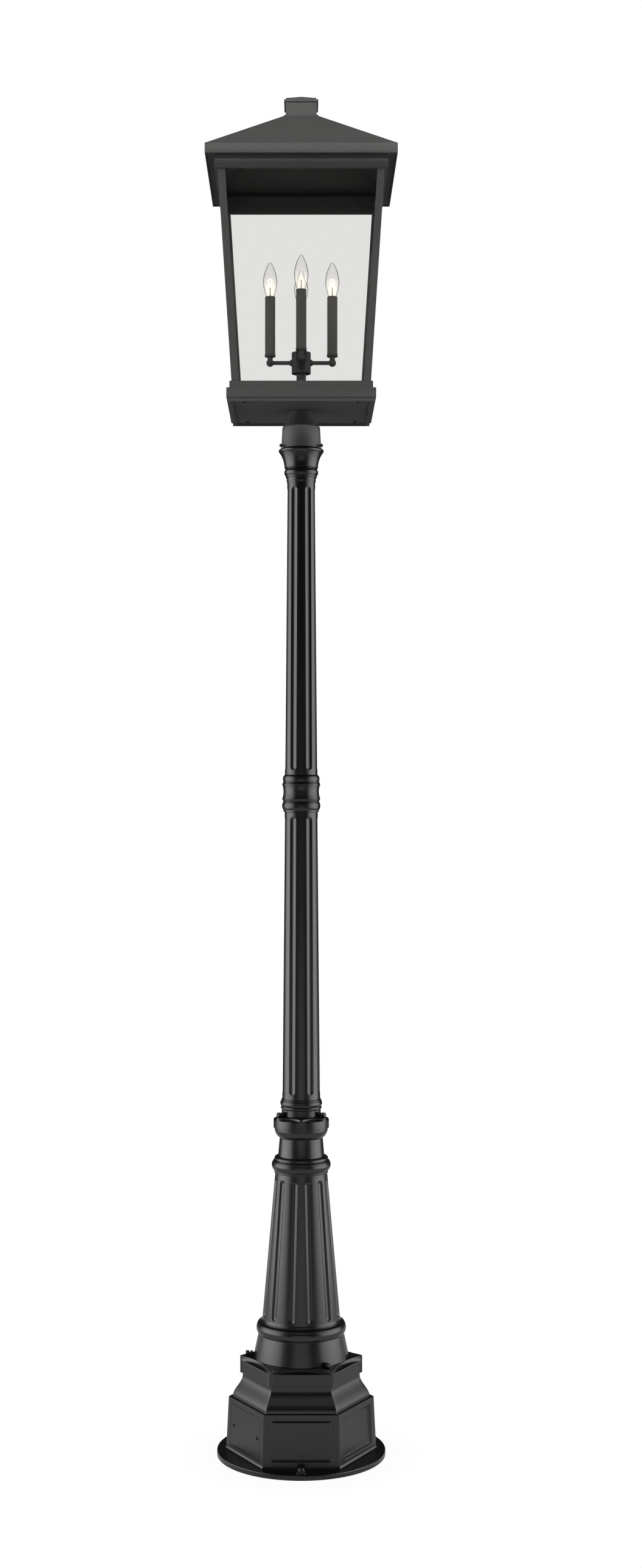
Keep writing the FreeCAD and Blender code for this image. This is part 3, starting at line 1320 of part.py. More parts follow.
def lamp_arms():
    """Tubes from the hub, each with a collar, a ball elbow and a short neck under its candle cup."""
    start = HUB_R - HUB_WALL - ARM_IN_HUB
    rod = radial_bar(ARM_R, start, ARM_REACH, Z_ARM)
    collar = radial_bar(ARM_COLLAR_R, HUB_R, HUB_R + ARM_COLLAR_L, Z_ARM)
    ball = Part.makeSphere(ELBOW_R, FreeCAD.Vector(ARM_REACH, 0, Z_ARM))
    neck = round_bar(ELBOW_NECK_R, Z_ARM, Z_CUP_RING, ARM_REACH)
    across = radial_bar(ARM_BORE_R, start - OVER, ARM_REACH, Z_ARM)
    upwards = round_bar(ARM_BORE_R, Z_ARM, Z_CUP_RING + OVER, ARM_REACH)
    arm = one(rod.fuse([collar, ball, neck]).cut([across, upwards, hub_seat()]))
    return around(arm, LAMP_PLACES.values())


def candle_cups():
    top = Z_CUP_RING + CUP_RING_H
    recess_r = SLEEVE_R + SLIP_GAP
    cup = turned(
        (ARM_BORE_R, Z_CUP_RING),
        (CUP_RING_R, Z_CUP_RING),
        (CUP_RING_R, top),
        (recess_r, top),
        (recess_r, Z_SLEEVE),
        (ARM_BORE_R, Z_SLEEVE),
    )
    cup.translate(FreeCAD.Vector(ARM_REACH, 0, 0))
    return around(cup, LAMP_PLACES.values())


def candle_sleeves():
    bore = SLEEVE_R - SLEEVE_WALL
    sleeve = turned((bore, Z_SLEEVE), (SLEEVE_R, Z_SLEEVE), (SLEEVE_R, Z_SLEEVE_TOP), (bore, Z_SLEEVE_TOP))
    sleeve.translate(FreeCAD.Vector(ARM_REACH, 0, 0))
    return around(sleeve, LAMP_PLACES.values())


def lampholders():
    """Sockets on hollow stems inside the sleeves."""
    holder = turned(
        (ARM_BORE_R, Z_SLEEVE),
        (HOLDER_STEM_R, Z_SLEEVE),
        (HOLDER_STEM_R, Z_HOLDER),
        (HOLDER_R, Z_HOLDER),
        (HOLDER_R, Z_HOLDER_TOP),
        (HOLDER_BORE_R, Z_HOLDER_TOP),
        (HOLDER_BORE_R, Z_HOLDER + HOLDER_FLOOR),
        (0, Z_HOLDER + HOLDER_FLOOR),
        (0, Z_HOLDER),
        (ARM_BORE_R, Z_HOLDER),
    )
    holder.translate(FreeCAD.Vector(ARM_REACH, 0, 0))
    return around(holder, LAMP_PLACES.values())


# Lamps
def lamp_cap():
    """The screw cap with its contact below."""
    return turned(
        (0, Z_CONTACT),
        (CONTACT_R, Z_CONTACT),
        (CONTACT_R, Z_CAP),
        (CAP_R, Z_CAP + CONTACT_H),
        (CAP_R, Z_LAMP),
        (0, Z_LAMP),
    )


def lamp_bulb():
    """A torpedo-shaped envelope: it swells from the cap to its widest ring and draws in to a blunt tip."""

    def side(inset):
        neck, widest, tip = LAMP_NECK_R - inset, LAMP_R - inset, LAMP_TIP_R - inset
        widest_z = Z_LAMP + LAMP_WIDEST
        tip_z = Z_LAMP + LAMP_H - LAMP_TIP_R
        edge = (tip * DIAGONAL, tip_z + tip * DIAGONAL)
        lower = (neck + (widest - neck) * LAMP_LOWER_ARC[0], Z_LAMP + LAMP_WIDEST * LAMP_LOWER_ARC[1])
        upper = (
            edge[0] + (widest - edge[0]) * LAMP_UPPER_ARC[0],
            widest_z + (edge[1] - widest_z) * LAMP_UPPER_ARC[1],
        )
        return [(neck, Z_LAMP), (lower, (widest, widest_z)), (upper, edge), dome(*edge, tip_z + tip)]

    outer = turned(*side(0.0), (0, Z_LAMP))
    inner = turned(*side(LAMP_WALL), (0, Z_LAMP))
    return one(outer.cut(inner))


def lamp_filament():
    """The glass mount, two leads and the filament arch between them."""
    top = Z_LAMP + MOUNT_H
    mount = Part.makeCone(MOUNT_R, MOUNT_R / 2, MOUNT_H, FreeCAD.Vector(0, 0, Z_LAMP))
    pieces = []
    for side in (-1, 1):
        foot = FreeCAD.Vector(side * MOUNT_R / 4, 0, top - OVER)
        tip = FreeCAD.Vector(side * LEAD_SPREAD, 0, top + LEAD_H)
        pieces.append(Part.makeCylinder(LEAD_R, tip.sub(foot).Length, foot, tip.sub(foot)))
    arch = Part.makeTorus(LEAD_SPREAD, LEAD_R, ORIGIN, FreeCAD.Vector(0, 1, 0), -180, 180, 180)
    arch.rotate(ORIGIN, FreeCAD.Vector(0, 1, 0), -90)
    arch.translate(FreeCAD.Vector(0, 0, top + LEAD_H - LEAD_R))
    return one(mount.fuse(pieces + [arch]))


def at_lamp(shape, angle):
    copy = shape.copy()
    copy.translate(FreeCAD.Vector(ARM_REACH, 0, 0))
    return at_angle(copy, angle)


def build():
    os.makedirs("parts", exist_ok=True)
    save("base_plate", base_plate())
    save("plate_screws", *plate_screws())
    save("anchor_washers", *anchor_washers())
    save("anchor_nuts", *anchor_nuts())
    save("hex_pedestal", hex_pedestal())
    save("access_door", access_door())
    save("door_gasket", door_gasket())
    save("door_screws", *door_screws())
    save("fluted_column", fluted_column())
    save("pedestal_bolts", *pedestal_bolts())
    save("lower_shaft", lower_shaft())
    save("collar_bolts", *collar_bolts())
    save("mid_collar", mid_collar())
    save("upper_shaft", upper_shaft())
    save("post_capital", post_capital())
    save("tenon_tube", tenon_tube())
    save("post_fitter", post_fitter())
    save("fitter_screws", *fitter_screws())
    save("bottom_cover", bottom_cover())
    save("cover_screws", *cover_screws())
    save("lantern_base", lantern_base())
    for k, post in enumerate(around(corner_post(), [0, 90, 180, 270])):
        save("corner_post_" + str(k + 1), post)
    for side, glass in zip(("rear", "left", "front", "right"), around(pane(), [0, 90, 180, 270])):
        save("glass_" + side, glass)
    save("frieze_ring", frieze_ring())
    save("glass_clips", *glass_clips())
    save("corner_tabs", *corner_tabs())
    save("roof_slopes", *roof_slopes())
    save("roof_fascia", *roof_fascia())
    save("roof_cap", roof_cap())
    save("roof_soffit", roof_soffit())
    save("finial_neck", finial_neck())
    save("finial_cap", finial_cap())
    save("finial_rod", *finial_rod())
    save("stem", stem())
    save("stem_nuts", *stem_nuts())
    save("lamp_hub", lamp_hub())
    save("hub_cover", hub_cover())
    save("lamp_arms", *lamp_arms())
    save("candle_cups", *candle_cups())
    save("candle_sleeves", *candle_sleeves())
    save("lampholders", *lampholders())
    for place, angle in LAMP_PLACES.items():
        save("lamp_cap_" + place, at_lamp(lamp_cap(), angle))
        save("lamp_bulb_" + place, at_lamp(lamp_bulb(), angle))
        save("lamp_filament_" + place, at_lamp(lamp_filament(), angle))


build()
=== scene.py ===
import json
import math

import bmesh
import bpy
import numpy as np
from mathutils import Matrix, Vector


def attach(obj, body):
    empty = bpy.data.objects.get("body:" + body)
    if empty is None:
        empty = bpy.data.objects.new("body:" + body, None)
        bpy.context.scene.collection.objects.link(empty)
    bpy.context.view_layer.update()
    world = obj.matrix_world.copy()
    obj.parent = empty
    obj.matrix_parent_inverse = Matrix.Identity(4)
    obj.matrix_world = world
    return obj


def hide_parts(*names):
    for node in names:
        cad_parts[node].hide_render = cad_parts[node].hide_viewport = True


# Outdoor post light: the dressed model. Sizes are in millimetres, in the part's own frame.
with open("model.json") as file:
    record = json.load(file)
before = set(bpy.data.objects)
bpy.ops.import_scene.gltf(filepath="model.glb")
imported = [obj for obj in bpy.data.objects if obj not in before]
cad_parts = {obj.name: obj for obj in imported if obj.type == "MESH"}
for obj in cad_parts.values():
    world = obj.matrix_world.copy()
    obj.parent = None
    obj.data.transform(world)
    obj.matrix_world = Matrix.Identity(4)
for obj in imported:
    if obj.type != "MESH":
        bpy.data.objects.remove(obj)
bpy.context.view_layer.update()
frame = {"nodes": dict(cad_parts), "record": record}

# Clearances
SLIP_GAP = 0.3  # radial, between castings that slip over each other
THREAD_GAP = 0.1  # radial, between a thread and its hole
TURN_GAP = 0.4  # radial, around pieces that turn or slide out in use
DROP_GAP = 0.6  # around covers and panels that drop into a frame
SCREW_GAP = 0.4  # radial, around a screw in a plain hole

# Base plate and anchors
PLATE_T = 12.0
ANCHOR_OFF = 12.4  # from the pedestal's foot to an anchor's washer
ANCHOR_THREAD_R = 6.0
WASHER_R = 12.0
WASHER_T = 2.0
NUT_FLATS = 18.0
NUT_HEX_H = 5.0
NUT_DOME_R = 7.5
NUT_DOME_H = 6.0

# Bosses for the screws that hold the pedestal on the plate
BOSS_R = 12.0
BOSS_H = 42.0

# Hexagonal pedestal, circumradii
BOX_R_FOOT = 172.5
BOX_R_TOP = 167.0
BOX_H = 118.0
BOX_WALL = 11.0
BOX_LEDGE = 9.1  # from the box's top edge to the foot of the ogee
FOOT_FLARE = 2.6
FOOT_H = 5.0
OGEE_R_NECK = 135.0
OGEE_CURVE_H = 49.6
OGEE_NECK_H = 5.4
CROWN_R = 141.7
CROWN_BAND_H = 28.6
CROWN_SCOOP_H = 10.4
CROWN_SCOOP_BACK = 12.0
CROWN_EDGE_R = 8.0
CROWN_DECK = 12.0

# Panels and access door on the pedestal's faces
PANEL_W = 136.0
PANEL_H = 92.0
PANEL_DOWN = 2.7  # panels and door, below the middle of the faces
PANEL_BEVEL = 5.5
PANEL_DEPTH = 5.0
DOOR_FACE = 210.0  # plan angle of the face with the door
DOOR_W = 135.0
DOOR_H = 92.0
DOOR_T = 4.0
GASKET_T = 1.5
HAND_HOLE_W = 90.0
HAND_HOLE_H = 73.0
DOOR_SCREW_EDGE = 12.5
DOOR_SCREW_R = 2.0
DOOR_SCREW_HEAD_R = 3.5
DOOR_SCREW_HEAD_H = 2.4
DOOR_SCREW_REACH = 3.5

# Radial clamp bolts of the slip joints
BOLT_R = 3.0
BOLT_FLATS = 10.0
BOLT_HEAD_T = 8.0
JAM_NUT_T = 5.0
JAM_NUT_OFF = 2.0  # from the clamped casting to the jam nut
HEAD_OFF = 3.0  # from the jam nut to the head
BOLT_LIFT = 0.5  # between a bolt's flat and the casting below it

# Fluted column
SKIRT_R_FOOT = 109.5
SKIRT_R_TOP = 98.0
SKIRT_H = 53.6
SKIRT_WALL = 12.0
SKIRT_SPIGOT_H = 40.0
SKIRT_SPIGOT_WALL = 8.0
LOW_RING_R = 103.0
LOW_RING_H = 35.6
LOW_RING_PEAK = 13.0
LOW_RING_LEDGE = 2.3  # flat on the ring, out from the cove's foot
LOW_RING_COVE_W = 7.3
LOW_RING_COVE_H = 10.4
LOW_RING_COVE_ARC = (0.36, 0.4)  # a point of the cove's arc, in shares of its width and height
TAPER_R_FOOT = 89.0
TAPER_R_TOP = 59.7
TAPER_H = 332.8
TAPER_WALL = 12.0
COLUMN_FLUTES = 12
COLUMN_FLUTE_W = 15.5
COLUMN_FLUTE_DEPTH = 4.0
COLUMN_FLUTE_FOOT = 3.8  # plain length below the flutes
COLUMN_FLUTE_TOP = 12.5  # plain length above the flutes
HIGH_LIP_R = 62.0
HIGH_LIP_H = 5.0
HIGH_RING_R = 67.8
HIGH_RING_H = 25.0
HIGH_STEP_R = 61.7
HIGH_STEP_H = 8.0
NECK_R_FOOT = 53.0
NECK_R_TOP = 49.5
NECK_H = 42.0
CUP_R = 61.0
CUP_H = 22.4
CUP_ARC = (0.68, 0.34)  # a point of the cup's arc, in shares of its width and height
BAND_R = 63.7
BAND_H = 20.4
BAND_GROOVE = 1.6
BAND_SCOOP_H = 7.0
BAND_SCOOP_BACK = 12.5

# Lower shaft
SHAFT_FLUTES = 6
SHAFT_FLUTE_W = 14.2
SHAFT_FLUTE_DEPTH = 3.0
SHAFT_FLUTE_END = 12.0  # plain length beyond each end of the flutes
LOWER_R_FOOT = 43.6
LOWER_R_TOP = 38.1
LOWER_H = 658.0
LOWER_WALL = 7.0
LOWER_NECK_OUT = 1.3  # the neck, its rings and the step, beyond the foot of the taper
LOWER_VALLEY_OUT = 1.9
LOWER_STEP_OUT = 2.0
LOWER_BEAD_OUT = 3.4
LOWER_RING_OUT = 4.6
LOWER_NECK_H = 15.5
LOWER_BEAD_H = 7.0
LOWER_RING_H = 13.5
LOWER_STEP_H = 4.0
LOWER_NECK_WALL = 5.1
LOWER_SPIGOT_H = 45.0
LOWER_SPIGOT_WALL = 5.5

# Middle collar
MID_STEP_R = 40.6
MID_STEP_H = 4.0
MID_BEAD_R = 44.1
MID_BEAD_H = 20.0
MID_GROOVE_R = 41.0
MID_TIP_R = 44.0
MID_TIP_H = 6.0
MID_WAIST_R = 40.8
MID_WAIST_H = 33.5
MID_TOP_BEAD_R = 42.2
MID_TOP_BEAD_H = 15.5
MID_TOP_STEP = 1.0  # beyond the upper shaft
MID_SPIGOT_H = 55.0
MID_SPIGOT_WALL = 5.5

# Upper shaft
UPPER_R_FOOT = 37.6
UPPER_R_TOP = 32.2
UPPER_H = 671.0
UPPER_WALL = 7.5
UPPER_SOCKET_WALL = 6.5
UPPER_BAND_R = 33.6
UPPER_BAND_H = 12.0
UPPER_LIP_R = 35.8
UPPER_LIP_H = 4.0
UPPER_BEAD_R = 39.0
UPPER_BEAD_H = 15.0
UPPER_GROOVE_R = 36.3
UPPER_GROOVE_H = 2.0

# Capital and tenon
CAPITAL_LIP_R = 38.6
CAPITAL_LIP_H = 3.0
CAPITAL_FLARE_H = 34.0
CAPITAL_FLARE_ARC = (0.26, 0.5)  # a point of the flare's arc, in shares of its width and height
CAPITAL_RIM_WALL = 13.7  # around the tenon
CAPITAL_RIM_H = 7.0
CAPITAL_RIM_ROUND = 1.6
CAPITAL_SPIGOT_H = 40.0
CAPITAL_WALL = 6.5
TENON_R = 38.1
TENON_SEAT = 14.0
TENON_H = 44.0  # above the capital

# Post fitter
FITTER_OFF = 1.7  # above the capital's rim
FITTER_PLAY = 1.0  # radial play on the tenon, taken up by the set screws
FITTER_WALL_FOOT = 6.9
FITTER_WALL_SHOULDER = 4.3
FITTER_BODY_H = 49.0
FITTER_NECK_R = 27.4
FITTER_NECK_H = 36.5
FITTER_NECK_ARC = (0.4, 0.4)  # a point of the neck's arc, in shares of its width and height
FITTER_SCREW_R = 2.0
FITTER_SCREW_UP = 4.0
FITTER_SCREW_OUT = 7.0  # bare thread between the fitter and the head
FITTER_SCREW_HEAD_R = 3.9
FITTER_SCREW_HEAD_H = 4.5

# Lantern base
DECK_OUT = 4.5  # beyond the foot of the cage
DECK_H = 16.0
TIER_OUT = 6.6  # beyond the deck
TIER_H = 22.0
RIM_IN = 4.6  # inside the tier
RIM_H = 8.0
RIM_WALL = 10.0
COVER_T = 3.0
DECK_T = 6.0
TRAY_WALL = 4.0  # ledge that the bottom cover lies against

# Lantern cage, half widths
CAGE_HALF_FOOT = 155.5
CAGE_HALF_TOP = 184.8
CAGE_H = 465.0
POST_SIDE = 16.0
GLASS_T = 3.0
GLASS_GAP = 0.3  # on each face of a pane
GROOVE_DEPTH = 5.0
GLASS_ABOVE = 15.0  # of a pane above the corner posts
FRIEZE_OUT = 7.2  # beyond the top of the cage
FRIEZE_H = 29.0
UPSTAND_WALL = 4.0
UPSTAND_H = 12.0

# Roof and finial, half widths
ROOF_OUT = 20.5  # beyond the frieze
FASCIA_H = 21.7
FASCIA_DROP = 3.3  # below the soffit
ROOF_RISE = 115.1
ROOF_TOP_HALF = 39.5
ROOF_T = 3.0
ROOF_CAP_T = 4.0
FLANGE_H = 2.5
FINIAL_HALF = 35.5
FINIAL_H = 30.5
LID_HALF = 39.0
LID_H = 5.5
PYRAMID_HALF = 34.5
PYRAMID_FOOT_H = 4.0
PYRAMID_RISE = 14.0

# Lamp cluster
STEM_R = 11.0
STEM_WALL = 3.0
STEM_OFF = 13.2  # from the tenon to the stem's foot
STEM_ABOVE_DECK = 46.0  # to the underside of the hub
STEM_PAST_NUT = 1.1
LOCKNUT_WALL = 3.0
LOCKNUT_H = 7.0
HUB_ROOM = 2.8  # around the nut inside the hub
HUB_H = 40.1
HUB_WALL = 3.0
HUB_COVER_H = 8.9
HUB_LIP_H = 5.0
ARM_UP = 16.5  # from the hub's open edge to the arms
ARM_R = 4.6
ARM_BORE_R = 2.8
ARM_IN_HUB = 2.0
ARM_COLLAR_R = 7.2
ARM_COLLAR_L = 4.0
ARM_REACH = 71.5
ELBOW_R = 8.8
ELBOW_NECK_R = 7.0
ELBOW_NECK_H = 14.0  # from the arm's axis to the candle cup
CUP_WALL = 0.5
CUP_RING_H = 5.0
CUP_FLOOR = 2.0
SLEEVE_R = 11.7
SLEEVE_WALL = 1.2
SLEEVE_H = 136.0
HOLDER_H = 28.0
HOLDER_FLOOR = 4.0
HOLDER_DOWN = 4.0  # below the sleeve's rim

# Lamps
CAP_R = 5.9
CONTACT_R = 2.4
CONTACT_H = 2.0
LAMP_OFF = 1.4  # between the lampholder and the glass
LAMP_NECK_R = 7.3
LAMP_R = 16.3
LAMP_WIDEST = 36.0  # from the cap to the widest ring
LAMP_H = 82.0  # from the cap to the tip
LAMP_TIP_R = 3.2
LAMP_LOWER_ARC = (0.62, 0.46)  # points of the side's arcs, in shares of their width and height
LAMP_UPPER_ARC = (0.67, 0.56)
LAMP_WALL = 0.9
MOUNT_R = 3.0
MOUNT_H = 24.0
LEAD_R = 0.45
LEAD_H = 15.0
LEAD_SPREAD = 4.0

# A hexagon's distance to its flats, and a quarter circle's middle, over the radius
FLAT = math.cos(math.radians(30))
DIAGONAL = math.sqrt(0.5)

# Heights that follow from the sizes above
Z_BOX = PLATE_T + BOX_H
Z_OGEE = Z_BOX + OGEE_CURVE_H + OGEE_NECK_H
Z_CROWN_RIM = Z_OGEE + CROWN_BAND_H
Z_CROWN = Z_CROWN_RIM + CROWN_SCOOP_H
Z_SKIRT = Z_CROWN + SKIRT_H
Z_TAPER = Z_SKIRT + LOW_RING_H
Z_HIGH_LIP = Z_TAPER + TAPER_H
Z_HIGH_RING = Z_HIGH_LIP + HIGH_LIP_H
Z_HIGH_STEP = Z_HIGH_RING + HIGH_RING_H
Z_NECK = Z_HIGH_STEP + HIGH_STEP_H
Z_CUP = Z_NECK + NECK_H
Z_BAND = Z_CUP + CUP_H
Z_BAND_RIM = Z_BAND + BAND_H
Z_COLLAR = Z_BAND_RIM + BAND_SCOOP_H
Z_LOWER_BEAD = Z_COLLAR + LOWER_NECK_H
Z_LOWER_RING = Z_LOWER_BEAD + LOWER_BEAD_H
Z_LOWER_STEP = Z_LOWER_RING + LOWER_RING_H
Z_LOWER = Z_LOWER_STEP + LOWER_STEP_H
Z_MID = Z_LOWER + LOWER_H
Z_MID_BEAD = Z_MID + MID_STEP_H
Z_MID_GROOVE = Z_MID_BEAD + MID_BEAD_H
Z_MID_TIP = Z_MID_GROOVE + MID_TIP_H
Z_MID_TIP_TOP = Z_MID_TIP + MID_WAIST_H
Z_MID_TOP_BEAD = Z_MID_TIP_TOP + MID_TIP_H
Z_UPPER = Z_MID_TOP_BEAD + MID_TOP_BEAD_H
Z_UPPER_BAND = Z_UPPER + UPPER_H
Z_UPPER_LIP = Z_UPPER_BAND + UPPER_BAND_H
Z_UPPER_BEAD = Z_UPPER_LIP + UPPER_LIP_H
Z_UPPER_GROOVE = Z_UPPER_BEAD + UPPER_BEAD_H
Z_CAPITAL = Z_UPPER_GROOVE + UPPER_GROOVE_H
Z_CAPITAL_RIM = Z_CAPITAL + CAPITAL_LIP_H + CAPITAL_FLARE_H
Z_CAPITAL_TOP = Z_CAPITAL_RIM + CAPITAL_RIM_H
Z_TENON = Z_CAPITAL_TOP + TENON_H
Z_FITTER = Z_CAPITAL_TOP + FITTER_OFF
Z_FITTER_SHOULDER = Z_FITTER + FITTER_BODY_H
Z_COVER = Z_FITTER_SHOULDER + FITTER_NECK_H
Z_TRAY = Z_COVER + COVER_T
Z_RIM = Z_TRAY - RIM_H
Z_TIER = Z_TRAY + TIER_H
Z_DECK = Z_TIER + DECK_H
Z_FRIEZE = Z_DECK + CAGE_H
Z_SOFFIT = Z_FRIEZE + FRIEZE_H
Z_FASCIA = Z_SOFFIT - FASCIA_DROP
Z_EAVE = Z_FASCIA + FASCIA_H
Z_ROOF = Z_EAVE + ROOF_RISE
Z_FINIAL = Z_ROOF + FLANGE_H
Z_LID = Z_FINIAL + FINIAL_H
Z_PYRAMID = Z_LID + LID_H
Z_HUB_COVER = Z_DECK + STEM_ABOVE_DECK
Z_HUB = Z_HUB_COVER + HUB_COVER_H
Z_ARM = Z_HUB + ARM_UP
Z_CUP_RING = Z_ARM + ELBOW_NECK_H
Z_SLEEVE = Z_CUP_RING + CUP_FLOOR
Z_SLEEVE_TOP = Z_SLEEVE + SLEEVE_H
Z_HOLDER_TOP = Z_SLEEVE_TOP - HOLDER_DOWN
Z_HOLDER = Z_HOLDER_TOP - HOLDER_H
Z_CONTACT = Z_HOLDER + HOLDER_FLOOR + TURN_GAP
Z_CAP = Z_CONTACT + CONTACT_H
Z_LAMP = Z_HOLDER_TOP + LAMP_OFF

# Plan of the base, and the lean of its faces
OGEE_R_FOOT = BOX_R_TOP - BOX_LEDGE
ANCHOR_CIRCLE_R = (BOX_R_FOOT + FOOT_FLARE) * FLAT + ANCHOR_OFF + WASHER_R
BOX_A_FOOT = BOX_R_FOOT * FLAT
BOX_A_TOP = BOX_R_TOP * FLAT
BOX_FACE_H = BOX_H - FOOT_H
BOX_LEAN = math.atan2(BOX_A_FOOT - BOX_A_TOP, BOX_FACE_H)
BOSS_AT = BOX_R_FOOT - BOX_WALL / FLAT - BOSS_R

# Radii of the lower shaft's foot and of the slip joints
LOWER_NECK_R = LOWER_R_FOOT + LOWER_NECK_OUT
LOWER_VALLEY_R = LOWER_R_FOOT + LOWER_VALLEY_OUT
LOWER_STEP_R = LOWER_R_FOOT + LOWER_STEP_OUT
LOWER_BEAD_R = LOWER_R_FOOT + LOWER_BEAD_OUT
LOWER_RING_R = LOWER_R_FOOT + LOWER_RING_OUT
SKIRT_SPIGOT_R = SKIRT_R_FOOT - SKIRT_WALL - SLIP_GAP
PEDESTAL_BORE_R = SKIRT_SPIGOT_R - SKIRT_SPIGOT_WALL
LOWER_SPIGOT_R = LOWER_NECK_R - LOWER_NECK_WALL - SLIP_GAP
COLUMN_BORE_R = LOWER_SPIGOT_R - LOWER_SPIGOT_WALL
LOWER_BORE_R = LOWER_R_TOP - LOWER_WALL
UPPER_SOCKET_R = UPPER_R_FOOT - UPPER_SOCKET_WALL
MID_LOW_SPIGOT_R = LOWER_BORE_R - SLIP_GAP
MID_HIGH_SPIGOT_R = UPPER_SOCKET_R - SLIP_GAP
MID_BORE_R = min(MID_LOW_SPIGOT_R, MID_HIGH_SPIGOT_R) - MID_SPIGOT_WALL
UPPER_BORE_R = UPPER_R_TOP - UPPER_WALL
CAPITAL_SPIGOT_R = UPPER_BORE_R - SLIP_GAP
CAPITAL_RIM_R = TENON_R + CAPITAL_RIM_WALL
WIRE_WAY_R = CAPITAL_SPIGOT_R - CAPITAL_WALL
SOCKET_R = TENON_R + FITTER_PLAY
FITTER_R_FOOT = SOCKET_R + FITTER_WALL_FOOT
FITTER_R_SHOULDER = SOCKET_R + FITTER_WALL_SHOULDER

# Half widths of the lantern's tiers, from the foot of the cage down
DECK_HALF = CAGE_HALF_FOOT + DECK_OUT
TIER_HALF = DECK_HALF + TIER_OUT
RIM_HALF = TIER_HALF - RIM_IN

# Slope of the cage's sides, how far a pane's middle lies inside the corner posts' outer faces, and the roof
CAGE_SLOPE = (CAGE_HALF_TOP - CAGE_HALF_FOOT) / CAGE_H
PANE_IN = POST_SIDE / 2
FRIEZE_HALF = CAGE_HALF_TOP + FRIEZE_OUT
FRIEZE_INNER = CAGE_HALF_TOP + CAGE_SLOPE * GLASS_ABOVE - PANE_IN + GLASS_T / 2 + GLASS_GAP
ROOF_HALF = FRIEZE_HALF + ROOF_OUT

# Inner edges of the roof's sheets, and the edge of the cap plate on top of them
ROOF_PITCH = math.atan2(ROOF_RISE, ROOF_HALF - ROOF_TOP_HALF)
Z_ROOF_CAP = Z_ROOF - ROOF_CAP_T
Z_EAVE_INNER = Z_EAVE - ROOF_T / math.cos(ROOF_PITCH) + ROOF_T * math.tan(ROOF_PITCH)
ROOF_INNER = ROOF_HALF - ROOF_T
ROOF_INNER_TOP = ROOF_INNER - (Z_ROOF_CAP - Z_EAVE_INNER) / math.tan(ROOF_PITCH)

# Lamp cluster: the stem's nut, the hub round it, the stem's end in the hub, and the candle cups
LOCKNUT_FLATS = 2 * (STEM_R + LOCKNUT_WALL)
HUB_R = LOCKNUT_FLATS / (2 * FLAT) + HUB_ROOM + HUB_WALL
STEM_IN_HUB = HUB_COVER_H + HUB_LIP_H + LOCKNUT_H + STEM_PAST_NUT
CUP_RING_R = SLEEVE_R + SLIP_GAP + CUP_WALL

# Plan angles
FACE_ANGLES = [30.0 + 60.0 * k for k in range(6)]
ANCHOR_ANGLES = [30.0, 150.0, 270.0]
BOSS_ANGLES = [0.0, 120.0, 240.0]
PEDESTAL_BOLT_ANGLES = [60.0, 180.0, 300.0]
COLLAR_BOLT_ANGLES = [90.0, 210.0, 330.0]
LAMP_PLACES = {"front": 270.0, "right": 0.0, "rear": 90.0, "left": 180.0}
FOUR_SIDES = (0.0, 90.0, 180.0, 270.0)

# Dressed surfaces: tolerances
MM = 0.001
TURN = 2 * math.pi
SAME = 1e-4  # points nearer than this are one
SHARP = math.cos(math.radians(15))  # turns beyond this are corners
CREASE = math.radians(32)  # sharper edges are drawn sharp
ON_TAPER = 0.05  # rows this near the taper carry flutes

# Dressed surfaces: rounded edges
CAST_EDGE = 1.4
PANEL_EDGE = 1.2
TURNED_EDGE = 0.9
SHEET_EDGE = 0.7
FINE_EDGE = 0.35
ROUND_SHARE = 0.45  # most of a corner's shorter side that its rounding takes
RIM_EDGE = 1.3
RIM_SHARE = 0.3  # the middle row of a scoop's rim, in shares of its edge
CROWN_BEAD = 1.8  # crown's corners beyond its flats
BOX_CORNER = 2.4
INNER_CORNER = 1.0
BOX_EDGE = 2.0  # from the box's foot and top to its flat faces
REBATE_LAP = 1.0  # of the flats beside the door's rebate
DOOR_LAP = 4.0  # of the door's flats beside its edge
FLUTE_LIP = 1.3
FLUTE_LIP_SHARE = 0.4  # most of a flute's half width that its lip takes
FLUTE_TIP = 0.25  # least share of a flute's width between its columns
FLUTE_PAST = 0.8  # rows beyond the flutes' ends
CUSP = 1.1  # scoops of the band end short of their cusps by this factor

# Dressed surfaces: rows and columns
ROUND_STEPS = 6
CORNER_STEPS = 7
OGEE_STEPS = 25
SCOOP_ROWS = 10
ARCH_STEPS = 15
FLUTE_ROWS = (14, 12)  # at a flute's round end, and between its ends
FLUTE_COLUMNS = (8, 5, 7)  # across half a flute, its lip and half a land
FINE_COLUMNS = 48
BULB_COLUMNS = 64
MOUNT_COLUMNS = 32
ACROSS = np.linspace(-1, 1, 13)

# Dressed surfaces: fasteners and lamps
HEX_CONE = math.tan(math.radians(30))
HEX_FACE = 0.95
HEX_STEPS = 4
THREAD_ROWS = 8  # in a pitch
HEAD_LAP = 1.0  # of a thread inside its head
BOLT_PITCH = 1.5
BOLT_THREAD = 0.5
FITTER_SCREW_PITCH = 0.9
FITTER_SCREW_THREAD = 0.4
LAMP_PITCH = 3.2
LAMP_THREAD = 0.7
CAP_CORE = 0.6  # between the crest of the cap's thread and its core
CAP_LAP = 0.2  # of the cap's thread over its core
DRIVE_R = 0.42  # door screw's recess and rim, in shares of its head's radius and height
DRIVE_WALL = 0.5
DRIVE_FLOOR = 0.3
HEAD_RIM = 0.4
HEAD_ARC = (0.82, 0.85)  # points of arcs, in shares of their width and height
ELBOW_WAIST = (0.9, 0.78)
MOUNT_ARC = (0.62, 0.4)
LEAD_LAP = 1.0  # of the leads inside the mount

